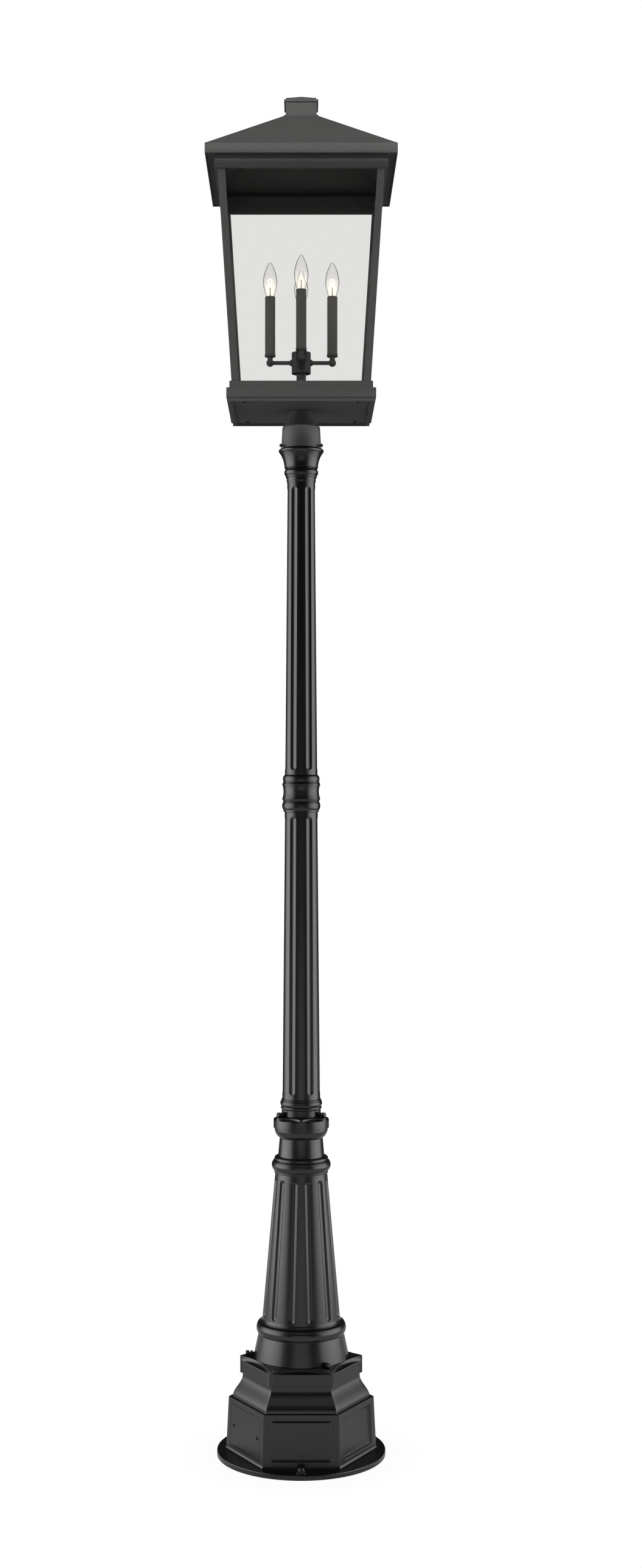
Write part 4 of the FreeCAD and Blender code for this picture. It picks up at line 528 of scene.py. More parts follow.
# Finishes
WHITE = (1.0, 1.0, 1.0, 1.0)
DRIFT_SCALE = 9.0  # per metre
DRIFT_TONE = 0.22  # how far the tone drifts
DRIFT_GLOSS = 0.35  # share of that drift in the roughness
WAVE_DEPTH = 0.0005  # of the glass, in metres
# Painted shade: the lamps' glass is tinted darker at its edges, where it turns away from the viewer
RIM_START = 0.76  # how far the lamps' glass turns away from the viewer before its painted edge shade starts
PAINTED_RIM_SHADE = (0.42, 0.41, 0.385, 1.0)
# Painted glow on the lamps' glass, which gives no light of its own; it stands in for the hot wire's light
GLOW_LOW = 0.3  # where the lamps' glow starts to fade, in shares of the height of their widest ring
GLOW_HIGH = 0.66  # where it ends, in shares of their whole height
PAINTED_GLOW_TONE = (1.0, 0.91, 0.72)
GLOW_POWER = 1.6  # by which it falls off where the glass turns away
PAINTED_GLOW_STRENGTH = 0.165
WIRE_TONE = (1.0, 0.72, 0.38)
WIRE_STRENGTH = 30.0

# Stage: the photograph in pixels, the camera and the surroundings in metres
PHOTO_H = 2576
FOCAL_LENGTH = 3381
AXIS_OFF = 32.5  # from the post to the picture's middle
SENSOR = 36.0
CAMERA_AT = (0.0, -4.735, 1.538)
FLOOR_RINGS = (4000.0, 400.0, 250.0, 0.0)  # in millimetres
FLOOR_TONE = 0.9
FLOOR_DIM = 0.7  # taken off the floor's tone where it lights other surfaces
FLOOR_SHADE = (0.2, 0.3, 0.96)  # from and to where the floor's shade fades, and the white in it
FLOOR_FRONT = (0.3, -0.5)  # from and to where the mirrored floor grows white
FLOOR_NEAR = (1.2, 2.0)  # from and to where it ends
FLOOR_MIRRORED = 0.9
WORLD_LIGHT = 0.18
WORLD_GLOSS = 0.03


# Profiles: arrays of (radius or half width, height)
def between(low, high, shares):
    """The point at shares of the width and height between two points."""
    return low[0] + (high[0] - low[0]) * shares[0], low[1] + (high[1] - low[1]) * shares[1]


def tapered(foot, top, z):
    """The radius at a height on the straight line through two points."""
    return foot[0] + (top[0] - foot[0]) * (z - foot[1]) / (top[1] - foot[1])


def trimmed(foot, top, below, above):
    """The ends of a taper, moved in along it by heights at its foot and top."""
    return [(tapered(foot, top, z), z) for z in (foot[1] + below, top[1] - above)]


def arc(start, middle, end, steps=16):
    """Points of the circle through three points, after the first one, at even turns about its centre."""
    (ax, az), (bx, bz), (cx, cz) = start, middle, end
    area = 2 * (ax * (bz - cz) + bx * (cz - az) + cx * (az - bz))
    squares = ax * ax + az * az, bx * bx + bz * bz, cx * cx + cz * cz
    x = (squares[0] * (bz - cz) + squares[1] * (cz - az) + squares[2] * (az - bz)) / area
    z = (squares[0] * (cx - bx) + squares[1] * (ax - cx) + squares[2] * (bx - ax)) / area
    first, second, last = (math.atan2(pz - z, px - x) for px, pz in (start, middle, end))
    turn = (last - first) % TURN
    if (second - first) % TURN > turn:
        turn -= TURN
    angle = first + turn * np.linspace(0, 1, steps + 1)[1:]
    radius = math.hypot(ax - x, az - z)
    return np.stack([x + radius * np.cos(angle), z + radius * np.sin(angle)], 1)


def dome(radius, z_edge, z_top):
    """The last step of a profile: over from its edge to the axis, round a ball centred on the axis."""
    rise = z_top - z_edge
    ball = (radius * radius + rise * rise) / (2 * rise)
    half = math.atan2(radius, ball - rise) / 2
    return (ball * math.sin(half), z_top - ball + ball * math.cos(half)), (0, z_top)


def outline(*steps):
    """A profile through points; a step of two points is an arc through the first one to the second."""
    runs = [np.array(steps[:1], float)]
    for step in steps[1:]:
        if isinstance(step[0], tuple):
            runs.append(arc(runs[-1][-1], *step))
        else:
            runs.append(np.array([step], float))
    return np.concatenate(runs)


def soften(points, reach, closed=True):
    """Rounds sharp corners by a parabola that leaves their sides at the reach, or nearer on short ones."""
    before, after = points - np.roll(points, 1, 0), np.roll(points, -1, 0) - points
    length_in, length_out = (np.linalg.norm(side, axis=1, keepdims=True) for side in (before, after))
    into, out = before / length_in, after / length_out
    sharp = (into * out).sum(1, keepdims=True) < SHARP
    size = np.where(sharp, np.minimum(reach, ROUND_SHARE * np.minimum(length_in, length_out)), 0)
    if not closed:
        size[[0, -1]] = 0
    share = np.linspace(0, 1, ROUND_STEPS)[None, :, None]
    start, corner, end = (spot[:, None] for spot in (points - into * size, points, points + out * size))
    curve = start * (1 - share) ** 2 + 2 * corner * share * (1 - share) + end * share**2
    curve = curve.reshape(-1, 2)
    apart = np.linalg.norm(np.diff(curve, axis=0), axis=1) > SAME
    curve = curve[np.concatenate([[True], apart])]
    return np.concatenate([curve, curve[:1]]) if closed else curve


def softened(*steps, reach=TURNED_EDGE, closed=False):
    """An outline with its corners softened."""
    return soften(outline(*steps), reach, closed)


def stacked(*runs):
    """Runs of a profile and its values as one profile, with each of the values for each of its rows."""
    profiles = [run[0] for run in runs]
    rows = [
        np.concatenate([np.broadcast_to(one, len(run)) for one, run in zip(value, profiles)])
        for value in zip(*(run[1:] for run in runs))
    ]
    return np.concatenate(profiles), *rows


def cove(away, rim, height, back):
    """Rows of a scoop with rounded rims: back by the sine of an angle as it rises by one less the cosine.

    Returns the rows' profile and how far each one lies back.
    """
    turn = np.linspace(math.asin(RIM_EDGE / back), np.pi / 2, SCOOP_ROWS)
    climb = np.minimum(height * (1 - np.cos(turn)), height - RIM_EDGE)
    edge = RIM_EDGE * np.array([RIM_SHARE, 1.0])
    z = rim + np.concatenate([-edge[::-1], climb, [height - edge[1] + edge[0], height]])
    out = np.concatenate([np.full(len(z) - 2, away), away - edge])
    bow = np.concatenate([[0, edge[0]], back * np.sin(turn), [back, back]])
    return np.stack([out, z], 1), bow


def taper_rows(foot, top, width):
    """Points along a taper, close together where the flutes' round ends are."""
    ends, middle = FLUTE_ROWS
    near = width * (1 - np.cos(np.linspace(0, np.pi / 2, ends))) - FLUTE_PAST
    plain = np.linspace(foot[1] + 2 * width, top[1] - 2 * width, middle)
    z = np.concatenate([foot[1] + near, plain, top[1] - near[::-1]])
    return list(zip(tapered(foot, top, z), z))


# Grids: arrays of points, rows by columns by (x, y, z)
def spun(reach, angle, height):
    """Points at a distance and an angle about the vertical axis, and at a height."""
    return np.stack(np.broadcast_arrays(reach * np.cos(angle), reach * np.sin(angle), height), -1)


def lathe(profile, columns=120):
    """Each profile point turned about the vertical axis."""
    return spun(profile[:, :1], np.linspace(0, TURN, columns + 1), profile[:, 1:])


def rounded(*steps, reach=TURNED_EDGE, closed=True):
    """A softened profile on the lathe."""
    return lathe(softened(*steps, reach=reach, closed=closed))


def tubular(bore, radius, low, high):
    """A softened rectangle on the lathe."""
    return rounded((bore, low), (radius, low), (radius, high), (bore, high), reach=FINE_EDGE)


def domed(radius, foot, edge, top, columns=120):
    """A disc with a domed top, on the lathe."""
    return lathe(outline((0, foot), (radius, foot), (radius, edge), dome(radius, edge, top)), columns)


def fluted(profile, count, first, width, depth, foot, top, scoop=None):
    """A lathe with flutes along a taper from foot to top.

    A flute is the mark of a ball-ended rod: across it, the radius is the near side of the rod's circle,
    c cos(a) - sqrt(e^2 - (c sin(a))^2), with the rod's axis c away and e its radius at that height. The
    columns follow the flute's edges, which are rounded by a parabola. scoop draws the rows in between six
    cusps.
    """
    mean = (foot[0] + top[0]) / 2
    sunk = depth - mean + math.sqrt(mean * mean - width * width / 4)
    ball = (width * width / 4 + sunk * sunk) / (2 * sunk)
    radius, height = profile[:, :1], profile[:, 1:]
    taper = tapered(foot, top, height)
    below = np.maximum(0, foot[1] + width / 2 - height)
    above = np.maximum(0, height - top[1] + width / 2)
    rod = np.sqrt(np.maximum(0, ball * ball - below**2 - above**2)) * (abs(radius - taper) < ON_TAPER)
    away = taper + ball - depth
    edge = np.arccos(np.clip((radius**2 + away**2 - rod**2) / (2 * radius * away), -1, 1))
    edge = np.where(rod > away - radius, edge, 0)
    lip = np.minimum(FLUTE_LIP / radius, FLUTE_LIP_SHARE * edge)
    half = np.pi / count
    turn = np.maximum(edge, FLUTE_TIP * width / 2 / radius)
    near = np.minimum(FLUTE_LIP / radius, FLUTE_LIP_SHARE * turn)
    inside, across, land = (np.linspace(0, 1, columns) for columns in FLUTE_COLUMNS)
    side = np.concatenate([
        (turn - near) * inside,
        turn + near * (2 * across[1:] - 1),
        turn + near + (half - turn - near) * land[1:],
    ], 1)

    def drop(angle):
        depth_there = np.sqrt(np.maximum(0, rod**2 - (away * np.sin(angle)) ** 2))
        return np.maximum(0, radius - away * np.cos(angle) + depth_there) * (edge > 0)

    eased = drop(edge - lip) * ((edge + lip - side) / np.maximum(2 * lip, SAME)) ** 2
    cut = np.where(side <= edge - lip, drop(side), np.where(side <= edge + lip, eased, 0))
    angle = np.concatenate([-side[:, :0:-1], side], 1)
    cut = np.concatenate([cut[:, :0:-1], cut], 1)
    turns = np.radians(first) + 2 * half * np.arange(count)
    angle = (angle[:, None, :] + turns[None, :, None]).reshape(len(profile), -1)
    reach = radius - np.tile(cut, (1, count))
    if scoop is not None:
        share = (angle / TURN * 6 + 0.5) % 1 * 2 - 1
        reach -= scoop[:, None] * np.maximum(0, 1 - (CUSP * share) ** 2)
    grid = spun(reach, angle, height)
    return np.concatenate([grid, grid[:, :1]], 1)


def sides_of(profile, sides, first, corner, across=(-1.0, 1.0), bow=0.0, bead=0.0):
    """Rings of a polygon with rounded corners, as rows by sides by columns.

    A profile point gives a ring's distance to its flats and its height. A side runs along its flat, at
    shares of the flat's half length, then round the corner after it. bow draws the flats in by a parabola
    along them, and bead sets the corners out beyond them.
    """
    away, height = profile[:, 0, None, None], profile[:, 1, None, None]
    corner, bow, bead = (np.broadcast_to(v, len(profile))[:, None, None] for v in (corner, bow, bead))
    corner = np.minimum(corner, away)
    half = np.pi / sides
    share = np.asarray(across)
    swing = half * np.linspace(0, 2, CORNER_STEPS)[1:]
    centre = away - corner + bead
    out = np.concatenate([away - bow * (1 - share**2), centre + corner * np.cos(swing)], 2)
    flat = share * ((away - corner) * math.tan(half) - bead)
    along = np.concatenate([flat, centre * math.tan(half) + corner * np.sin(swing)], 2)
    face = (np.radians(first) + 2 * half * np.arange(sides))[None, :, None]
    x = out * np.cos(face) - along * np.sin(face)
    y = out * np.sin(face) + along * np.cos(face)
    return np.stack([x, y, np.broadcast_to(height, x.shape)], -1)


def ringed(*form, **options):
    """The rings of sides_of as one closed grid."""
    grid = sides_of(*form, **options)
    loop = grid.reshape(len(grid), -1, 3)
    return np.concatenate([loop, loop[:, :1]], 1)


def square(*steps, reach=SHEET_EDGE, closed=False):
    """A softened profile carried round a square, with its corners rounded as much."""
    return ringed(softened(*steps, reach=reach, closed=closed), 4, 0.0, reach)


def framed(profile, half_w, half_h, across=(-1.0, 1.0)):
    """Rectangles one round the other, flat with +Z outwards: a profile point grows a ring and moves it out.

    across has the shares of the width at which a ring has points along its lower and upper sides.
    """
    share = np.asarray(across)
    level = np.ones(len(share))
    side_x = np.concatenate([share, share[::-1], share[:1]])
    side_y = np.concatenate([-level, level, [-1.0]])
    grow, out = profile[:, :1], profile[:, 1:]
    x, y = np.maximum(0, half_w + grow) * side_x, np.maximum(0, half_h + grow) * side_y
    return np.stack([x, y, np.broadcast_to(out, x.shape)], -1)


def hex_bar(flats, z0, z1, columns=72):
    """A hexagonal bar: across the angle, the lesser of the hexagon's distance and a cone's at each end."""
    angle = np.linspace(0, TURN, columns + 1)
    hexagon = flats / 2 / np.cos(angle % (TURN / 6) - TURN / 12)
    rise = (flats / (2 * FLAT) - flats / 2 * HEX_FACE) * HEX_CONE
    step = rise * np.linspace(0, 1, HEX_STEPS)
    height = np.concatenate([[z0], z0 + step, z1 - step[::-1], [z1]])
    cone = flats / 2 * HEX_FACE + np.minimum(height - z0, z1 - height) / HEX_CONE
    cone[[0, -1]] = 0
    return spun(np.minimum(hexagon, cone[:, None]), angle, height[:, None])


def threaded(radius, z0, z1, pitch, depth, columns=36):
    """A screw: the radius falls and rises by a cosine of the height in pitches less the share of a turn."""
    angle = np.linspace(0, TURN, columns + 1)
    rows = int((z1 - z0) / pitch * THREAD_ROWS) + 1
    height = np.concatenate([[z0], np.linspace(z0, z1, rows), [z1]])[:, None]
    reach = radius - depth * (0.5 - 0.5 * np.cos(TURN * height / pitch - angle))
    reach[[0, -1]] = 0
    return spun(reach, angle, height)


def wire(path, radius, columns=10):
    """Rings across the direction of a path that stays in a plane of constant y, closed at its ends."""
    run = np.gradient(path, axis=0)
    run /= np.linalg.norm(run, axis=1, keepdims=True)
    level = np.array([0.0, 1.0, 0.0])
    upright = np.cross(level, run)
    angle = np.linspace(0, TURN, columns + 1)[None, :, None]
    rings = path[:, None] + radius * (np.cos(angle) * upright[:, None] + np.sin(angle) * level)
    first, last = (np.broadcast_to(end, (1, columns + 1, 3)) for end in (path[0], path[-1]))
    return np.concatenate([first, rings, last])


def moved(grid, x=0.0, y=0.0, z=0.0):
    """A grid shifted by lengths along the axes."""
    return grid + np.array([x, y, z])


def along_x(grid):
    """A grid made about the vertical axis, laid along +X."""
    return grid[..., [2, 0, 1]]


def at_angle(grid, angle):
    """A grid turned about the vertical axis."""
    cos, sin = math.cos(math.radians(angle)), math.sin(math.radians(angle))
    return grid @ np.array([[cos, sin, 0], [-sin, cos, 0], [0, 0, 1]])


def around(grids, angles):
    """Copies of grids, turned about the vertical axis to each angle."""
    return [at_angle(grid, angle) for angle in angles for grid in grids]


def at_lamps(*grids):
    """Copies of grids made about the axis, one at each lamp."""
    return around([moved(grid, x=ARM_REACH) for grid in grids], LAMP_PLACES.values())


# Pieces
def mesh_of(name, grids):
    """A mesh of grids in millimetres: a face between each four neighbouring points."""
    spots, quads, start = [], [], 0
    for grid in grids:
        rows, columns = grid.shape[:2]
        index = start + np.arange(rows * columns).reshape(rows, columns)
        corners = index[:-1, :-1], index[:-1, 1:], index[1:, 1:], index[1:, :-1]
        quads.append(np.stack(corners, -1).reshape(-1, 4))
        spots.append(grid.reshape(-1, 3))
        start += rows * columns
    mesh = bpy.data.meshes.new(name)
    mesh.from_pydata((np.concatenate(spots) * MM).tolist(), [], np.concatenate(quads).tolist())
    return mesh


def placed(name, data):
    """A new object in the scene."""
    made = bpy.data.objects.new(name, data)
    bpy.context.scene.collection.objects.link(made)
    return made


def piece(name, grids, body, slot, *nodes, fill=False):
    """A welded mesh of grids, which rides on a body and stands for CAD nodes."""
    mesh = mesh_of(name, grids)
    form = bmesh.new()
    form.from_mesh(mesh)
    bmesh.ops.remove_doubles(form, verts=form.verts, dist=SAME * MM)
    bmesh.ops.dissolve_degenerate(form, edges=form.edges, dist=SAME * MM)
    if fill:
        bmesh.ops.holes_fill(form, edges=[edge for edge in form.edges if edge.is_boundary])
    form.to_mesh(mesh)
    form.free()
    mesh.polygons.foreach_set("use_smooth", np.ones(len(mesh.polygons), bool))
    mesh.set_sharp_from_angle(angle=CREASE)
    mesh.materials.append(finishes[slot])
    made = placed(name, mesh)
    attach(made, body)
    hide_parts(*nodes)


def pieces(body, slot, *makers):
    """A piece from each maker, which stands for the CAD node of the maker's name."""
    for make in makers:
        piece(make.__name__, make(), body, slot, make.__name__)


# Finishes
def feed(tree, made, inputs):
    """Sets a node's inputs to values, or links them to other nodes' outputs; returns its own outputs."""
    for name, value in inputs.items():
        if isinstance(value, bpy.types.NodeSocket):
            tree.links.new(value, made.inputs[name])
        else:
            made.inputs[name].default_value = value
    return made.outputs


def node(tree, kind, inputs=None, **options):
    """Adds a node with its options, feeds it and returns its outputs."""
    made = tree.nodes.new("ShaderNode" + kind)
    for name, value in options.items():
        setattr(made, name, value)
    return feed(tree, made, inputs or {})


def maths(tree, kind, first, second):
    """A sum, product or other operation on two values."""
    return node(tree, "Math", {0: first, 1: second}, operation=kind)[0]


def scaled(tree, colour, level):
    """A colour times a level."""
    return node(tree, "VectorMath", {0: colour, "Scale": level}, operation="SCALE")[0]


def ramp(tree, value, start, end, low=0.0, high=1.0, kind="LINEAR"):
    """From low where the value is at the start, to high where it is at the end."""
    spans = {"Value": value, "From Min": start, "From Max": end, "To Min": low, "To Max": high}
    return node(tree, "MapRange", spans, interpolation_type=kind)["Result"]


def spot(tree):
    """The place on the object."""
    return node(tree, "TexCoord")["Object"]


def noise(tree, where, scale, detail):
    """Soft random patches, in a number per metre."""
    return node(tree, "TexNoise", {"Vector": where, "Scale": scale, "Detail": detail})["Fac"]


def relief(tree, height, strength, depth):
    """A normal tilted by a height."""
    return node(tree, "Bump", {"Height": height, "Strength": strength, "Distance": depth})["Normal"]


def show(tree, share, first, second, end="Material Output"):
    """The first shader, with a share of the second, as what is seen."""
    mix = node(tree, "MixShader", {0: share, 1: first, 2: second})
    feed(tree, tree.nodes[end], {"Surface": mix[0]})


def coat_group():
    """Sprayed coat: a tone that drifts over centimetres and speckles at the grain, with a grain height."""
    group = bpy.data.node_groups.new("sprayed_coat", "ShaderNodeTree")
    for name, kind, way, value in (
        ("Tone", "NodeSocketColor", "INPUT", (0.05, 0.05, 0.05, 1.0)),
        ("Speckle", "NodeSocketFloat", "INPUT", 0.2),
        ("Grain", "NodeSocketFloat", "INPUT", 1200.0),
        ("Gloss", "NodeSocketFloat", "INPUT", 0.4),
        ("Color", "NodeSocketColor", "OUTPUT", None),
        ("Roughness", "NodeSocketFloat", "OUTPUT", None),
        ("Height", "NodeSocketFloat", "OUTPUT", None),
    ):
        made = group.interface.new_socket(name, socket_type=kind, in_out=way)
        if value is not None:
            made.default_value = value
    into = group.nodes.new("NodeGroupInput").outputs
    out = group.nodes.new("NodeGroupOutput")
    where = spot(group)
    drift = maths(group, "SUBTRACT", noise(group, where, DRIFT_SCALE, 3.0), 0.5)
    drift = maths(group, "MULTIPLY", drift, DRIFT_TONE)
    grain = noise(group, where, into["Grain"], 2.0)
    speckle = maths(group, "MULTIPLY", maths(group, "SUBTRACT", grain, 0.5), into["Speckle"])
    level = maths(group, "ADD", maths(group, "ADD", speckle, drift), 1.0)
    feed(group, out, {
        "Color": scaled(group, into["Tone"], level),
        "Roughness": maths(group, "ADD", into["Gloss"], maths(group, "MULTIPLY", drift, DRIFT_GLOSS)),
        "Height": grain,
    })
    return group


def material(name):
    """A new material, its nodes and its shader."""
    made = bpy.data.materials.new(name)
    made.use_nodes = True
    return made, made.node_tree, made.node_tree.nodes["Principled BSDF"]


def coated(name, tone, gloss, grain, speckle, bump, depth, metal=0.0):
    """A coated surface from the shared coat, with its own tone, gloss and grain."""
    made, tree, shader = material(name)
    values = {"Tone": (*tone, 1.0), "Gloss": gloss, "Grain": grain, "Speckle": speckle}
    coat = node(tree, "Group", values, node_tree=sprayed_coat)
    feed(tree, shader, {
        "Base Color": coat["Color"],
        "Roughness": coat["Roughness"],
        "Metallic": metal,
        "Normal": relief(tree, coat["Height"], bump, depth),
    })
    return made


def clear(name, tint, bend, grain, bump, lamp=False):
    """Clear glass with a faint waviness; shadow rays pass, so that light reaches what is behind it.

    A lamp's glass gets painted shade where it turns away from the viewer, and a painted glow below, most
    where it faces the viewer.
    """
    made, tree, shader = material(name)
    tone = (*tint, 1.0)
    where = spot(tree)
    feed(tree, shader, {
        "Base Color": tone,
        "Roughness": 0.0,
        "IOR": bend,
        "Transmission Weight": 1.0,
        "Normal": relief(tree, noise(tree, where, grain, 1.0), bump, WAVE_DEPTH),
    })
    if lamp:
        # Painted shade: the glass's tone darkens towards its edges as they turn away from the viewer
        facing = node(tree, "LayerWeight", {"Blend": 0.5})["Facing"]
        rim = ramp(tree, facing, RIM_START, 1.0)
        shade = node(tree, "Mix", {"Factor": rim, "A": tone, "B": PAINTED_RIM_SHADE}, data_type="RGBA")
        # Painted glow: the glass glows warm below its widest ring, standing in for the hot wire's light
        height = node(tree, "SeparateXYZ", {0: where})["Z"]
        low, high = Z_LAMP + LAMP_WIDEST * GLOW_LOW, Z_LAMP + LAMP_H * GLOW_HIGH
        fade = ramp(tree, height, low * MM, high * MM, 1.0, 0.0, "SMOOTHSTEP")
        middle = maths(tree, "POWER", maths(tree, "SUBTRACT", 1.0, facing), GLOW_POWER)
        feed(tree, shader, {
            "Base Color": shade["Result"],
            "Emission Color": scaled(tree, PAINTED_GLOW_TONE, maths(tree, "MULTIPLY", fade, middle)),
            "Emission Strength": PAINTED_GLOW_STRENGTH,
        })
    through = node(tree, "BsdfTransparent", {"Color": tone})[0]
    show(tree, node(tree, "LightPath")["Is Shadow Ray"], shader.outputs[0], through)
    return made


def glowing(name):
    """Hot wire: the glow is strongest at the arch and falls off down the leads."""
    made, tree, shader = material(name)
    height = node(tree, "SeparateXYZ", {0: spot(tree)})["Z"]
    foot = Z_LAMP + MOUNT_H
    heat = ramp(tree, height, foot * MM, (foot + LEAD_H) * MM)
    feed(tree, shader, {
        "Base Color": (0.5, 0.45, 0.4, 1.0),
        "Metallic": 1.0,
        "Roughness": 0.35,
        "Emission Color": scaled(tree, WIRE_TONE, heat),
        "Emission Strength": WIRE_STRENGTH,
    })
    return made


# A coat's tone, roughness, grain per metre, speckle, and the strength and depth in metres of its bumps;
# a glass's tint, refraction, waves per metre and their strength
sprayed_coat = coat_group()
finishes = {
    "post_paint": coated("satin_black_paint", (0.004, 0.004, 0.0039), 0.3, 650.0, 0.35, 0.16, 0.0003),
    "lantern_paint": coated("textured_black_coat", (0.053, 0.052, 0.0505), 0.58, 800.0, 0.85, 0.45, 0.0006),
    "zinc_steel": coated("zinc_plated_steel", (0.55, 0.55, 0.55), 0.4, 700.0, 0.3, 0.1, 0.0002, metal=1.0),
    "black_fastener": coated("blackened_steel", (0.005, 0.005, 0.005), 0.34, 1600.0, 0.5, 0.15, 0.0002),
    "gasket_rubber": coated("gasket_rubber", (0.012, 0.012, 0.012), 0.7, 500.0, 0.3, 0.2, 0.0003),
    "candle_paint": coated("matt_candle_coat", (0.082, 0.081, 0.077), 0.55, 1800.0, 0.35, 0.2, 0.0003),
    "holder_plastic": coated("moulded_holder", (0.7, 0.68, 0.62), 0.5, 300.0, 0.1, 0.1, 0.0003),
    "pane_glass": clear("pane_glass", (0.93, 0.927, 0.92), 1.45, 6.0, 0.02),
    "lamp_brass": coated("lamp_brass", (0.72, 0.55, 0.26), 0.25, 600.0, 0.3, 0.1, 0.0002, metal=1.0),
    "lamp_glass": clear("lamp_glass", (0.97, 0.965, 0.955), 1.2, 60.0, 0.03, lamp=True),
    "filament_wire": glowing("filament_wire"),
}


# Base
def on_face(grid, angle):
    """A grid drawn flat, with +Z outwards and +Y up, placed where a panel lies on a leaning face."""
    cos_a, sin_a = math.cos(math.radians(angle)), math.sin(math.radians(angle))
    cos_l, sin_l = math.cos(BOX_LEAN), math.sin(BOX_LEAN)
    out = (BOX_A_FOOT + BOX_A_TOP) / 2 + PANEL_DOWN * math.tan(BOX_LEAN)
    middle = np.array([out * cos_a, out * sin_a, PLATE_T + FOOT_H + BOX_FACE_H / 2 - PANEL_DOWN])
    across, up = [-sin_a, cos_a, 0], [-sin_l * cos_a, -sin_l * sin_a, cos_l]
    return grid @ np.array([across, up, [cos_l * cos_a, cos_l * sin_a, sin_l]]) + middle


def anchor_washers():
    """A flat ring round each anchor."""
    washer = tubular(ANCHOR_THREAD_R + SCREW_GAP, WASHER_R, PLATE_T, PLATE_T + WASHER_T)
    return around([moved(washer, x=ANCHOR_CIRCLE_R)], ANCHOR_ANGLES)


def anchor_nuts():
    """A hexagon with a dome: an arc from the rim to the axis."""
    foot = PLATE_T + WASHER_T
    edge = foot + NUT_HEX_H
    nut = hex_bar(NUT_FLATS, foot, edge), domed(NUT_DOME_R, foot, edge, edge + NUT_DOME_H)
    return around([moved(grid, x=ANCHOR_CIRCLE_R) for grid in nut], ANCHOR_ANGLES)


def hex_pedestal():
    """Hexagonal rings from the foot up over the box, ogee and crown, then down the bore to the inner walls.

    The ogee draws in by a cosine. Between foot and top, the rings' flats are cut out and filled by frames
    that step in to the sunk panels, and on the door's face by one through the hand hole to the inner wall.
    """
    low, high = (
        (tapered((BOX_A_FOOT, PLATE_T + FOOT_H), (BOX_A_TOP, Z_BOX), z), z)
        for z in (PLATE_T + FOOT_H + BOX_EDGE, Z_BOX - BOX_EDGE)
    )
    inner = np.array([[BOX_A_TOP - BOX_WALL, Z_BOX - BOX_WALL], [BOX_A_FOOT - BOX_WALL, PLATE_T]])
    foot = softened(
        (BOX_A_FOOT - BOX_WALL + BOX_EDGE, PLATE_T), (BOX_A_FOOT + FOOT_FLARE * FLAT, PLATE_T),
        (BOX_A_FOOT, PLATE_T + FOOT_H), low,
    )
    neck_a = OGEE_R_NECK * FLAT
    share = np.linspace(0, 1, OGEE_STEPS)
    curve = (OGEE_R_NECK + (OGEE_R_FOOT - OGEE_R_NECK) * (0.5 + 0.5 * np.cos(np.pi * share))) * FLAT
    ogee = zip(curve, Z_BOX + OGEE_CURVE_H * share)
    neck = softened(high, (BOX_A_TOP, Z_BOX), *ogee, (neck_a, Z_OGEE))
    away = CROWN_R * FLAT - CROWN_BEAD
    rim = (away, Z_CROWN_RIM - 2 * RIM_EDGE)
    band = softened((neck_a + TURNED_EDGE, Z_OGEE), (away, Z_OGEE), rim, reach=CAST_EDGE)
    scoop, bow = cove(away, Z_CROWN_RIM, CROWN_SCOOP_H, CROWN_SCOOP_BACK)
    ledge, spigot_top = Z_CROWN - CROWN_DECK, Z_CROWN + SKIRT_SPIGOT_H
    bore = outline(
        (SKIRT_SPIGOT_R, Z_CROWN), (SKIRT_SPIGOT_R, spigot_top), (PEDESTAL_BORE_R, spigot_top),
        (PEDESTAL_BORE_R, ledge), (neck_a - BOX_WALL, ledge), (neck_a - BOX_WALL, Z_BOX - BOX_WALL),
    )
    lower = (inner[1:], INNER_CORNER, 0, 0), (foot, BOX_CORNER, 0, 0)
    upper = (
        (neck, BOX_CORNER, 0, 0),
        (band, CROWN_EDGE_R, 0, CROWN_BEAD),
        (scoop, CROWN_EDGE_R, bow, CROWN_BEAD),
        (bore, np.inf, 0, 0),
        (inner[:1], INNER_CORNER, 0, 0),
    )
    first = FACE_ANGLES[0]
    grids = []
    for run in (lower, upper):
        profile, corners, bows, beads = stacked(*run)
        grids.append(ringed(profile, 6, first, corners, across=ACROSS, bow=bows, bead=beads))
    outside = sides_of(np.array([low, high]), 6, first, BOX_CORNER, across=ACROSS)
    inside = sides_of(inner, 6, first, INNER_CORNER, across=ACROSS)
    bevel = (-PANEL_BEVEL, -PANEL_DEPTH), (-2 * PANEL_BEVEL, -PANEL_DEPTH)
    panel = softened((PANEL_BEVEL, 0), (0, 0), *bevel, reach=PANEL_EDGE)
    panel = np.concatenate([panel, [[-PANEL_W, -PANEL_DEPTH]]])
    panel = framed(panel, PANEL_W / 2, PANEL_H / 2, ACROSS)
    rebate = DOOR_T + GASKET_T
    step = (DROP_GAP, 0), (DROP_GAP, -rebate)
    door = softened((2 * DROP_GAP + REBATE_LAP, 0), *step, (-REBATE_LAP, -rebate), reach=FINE_EDGE)
    hole = np.array([[0, -rebate], [0, -BOX_WALL * math.cos(BOX_LEAN)]])
    door = np.concatenate([
        framed(door, DOOR_W / 2, DOOR_H / 2, ACROSS),
        framed(hole, HAND_HOLE_W / 2, HAND_HOLE_H / 2, ACROSS),
    ])
    ends = len(ACROSS)
    for k, angle in enumerate(FACE_ANGLES):
        front, back = (
            np.concatenate([wall[0, :ends], wall[1, ends - 1::-1], wall[0, :1]])[None]
            for wall in (outside[:, k], inside[::-1, k])
        )
        if angle == DOOR_FACE:
            grids.append(np.concatenate([front, on_face(door, angle), back]))
        else:
            grids += [np.concatenate([front, on_face(panel, angle)]), inside[:, k, :ends]]
        for wall in (outside, inside):
            grids.append(np.concatenate([wall[:, k, ends - 1:], wall[:, (k + 1) % 6, :1]], 1))
    top = PLATE_T + BOSS_H
    boss = rounded((0, PLATE_T), (BOSS_R, PLATE_T), (BOSS_R, top), (0, top), closed=False)
    return grids + around([moved(boss, x=BOSS_AT)], BOSS_ANGLES)


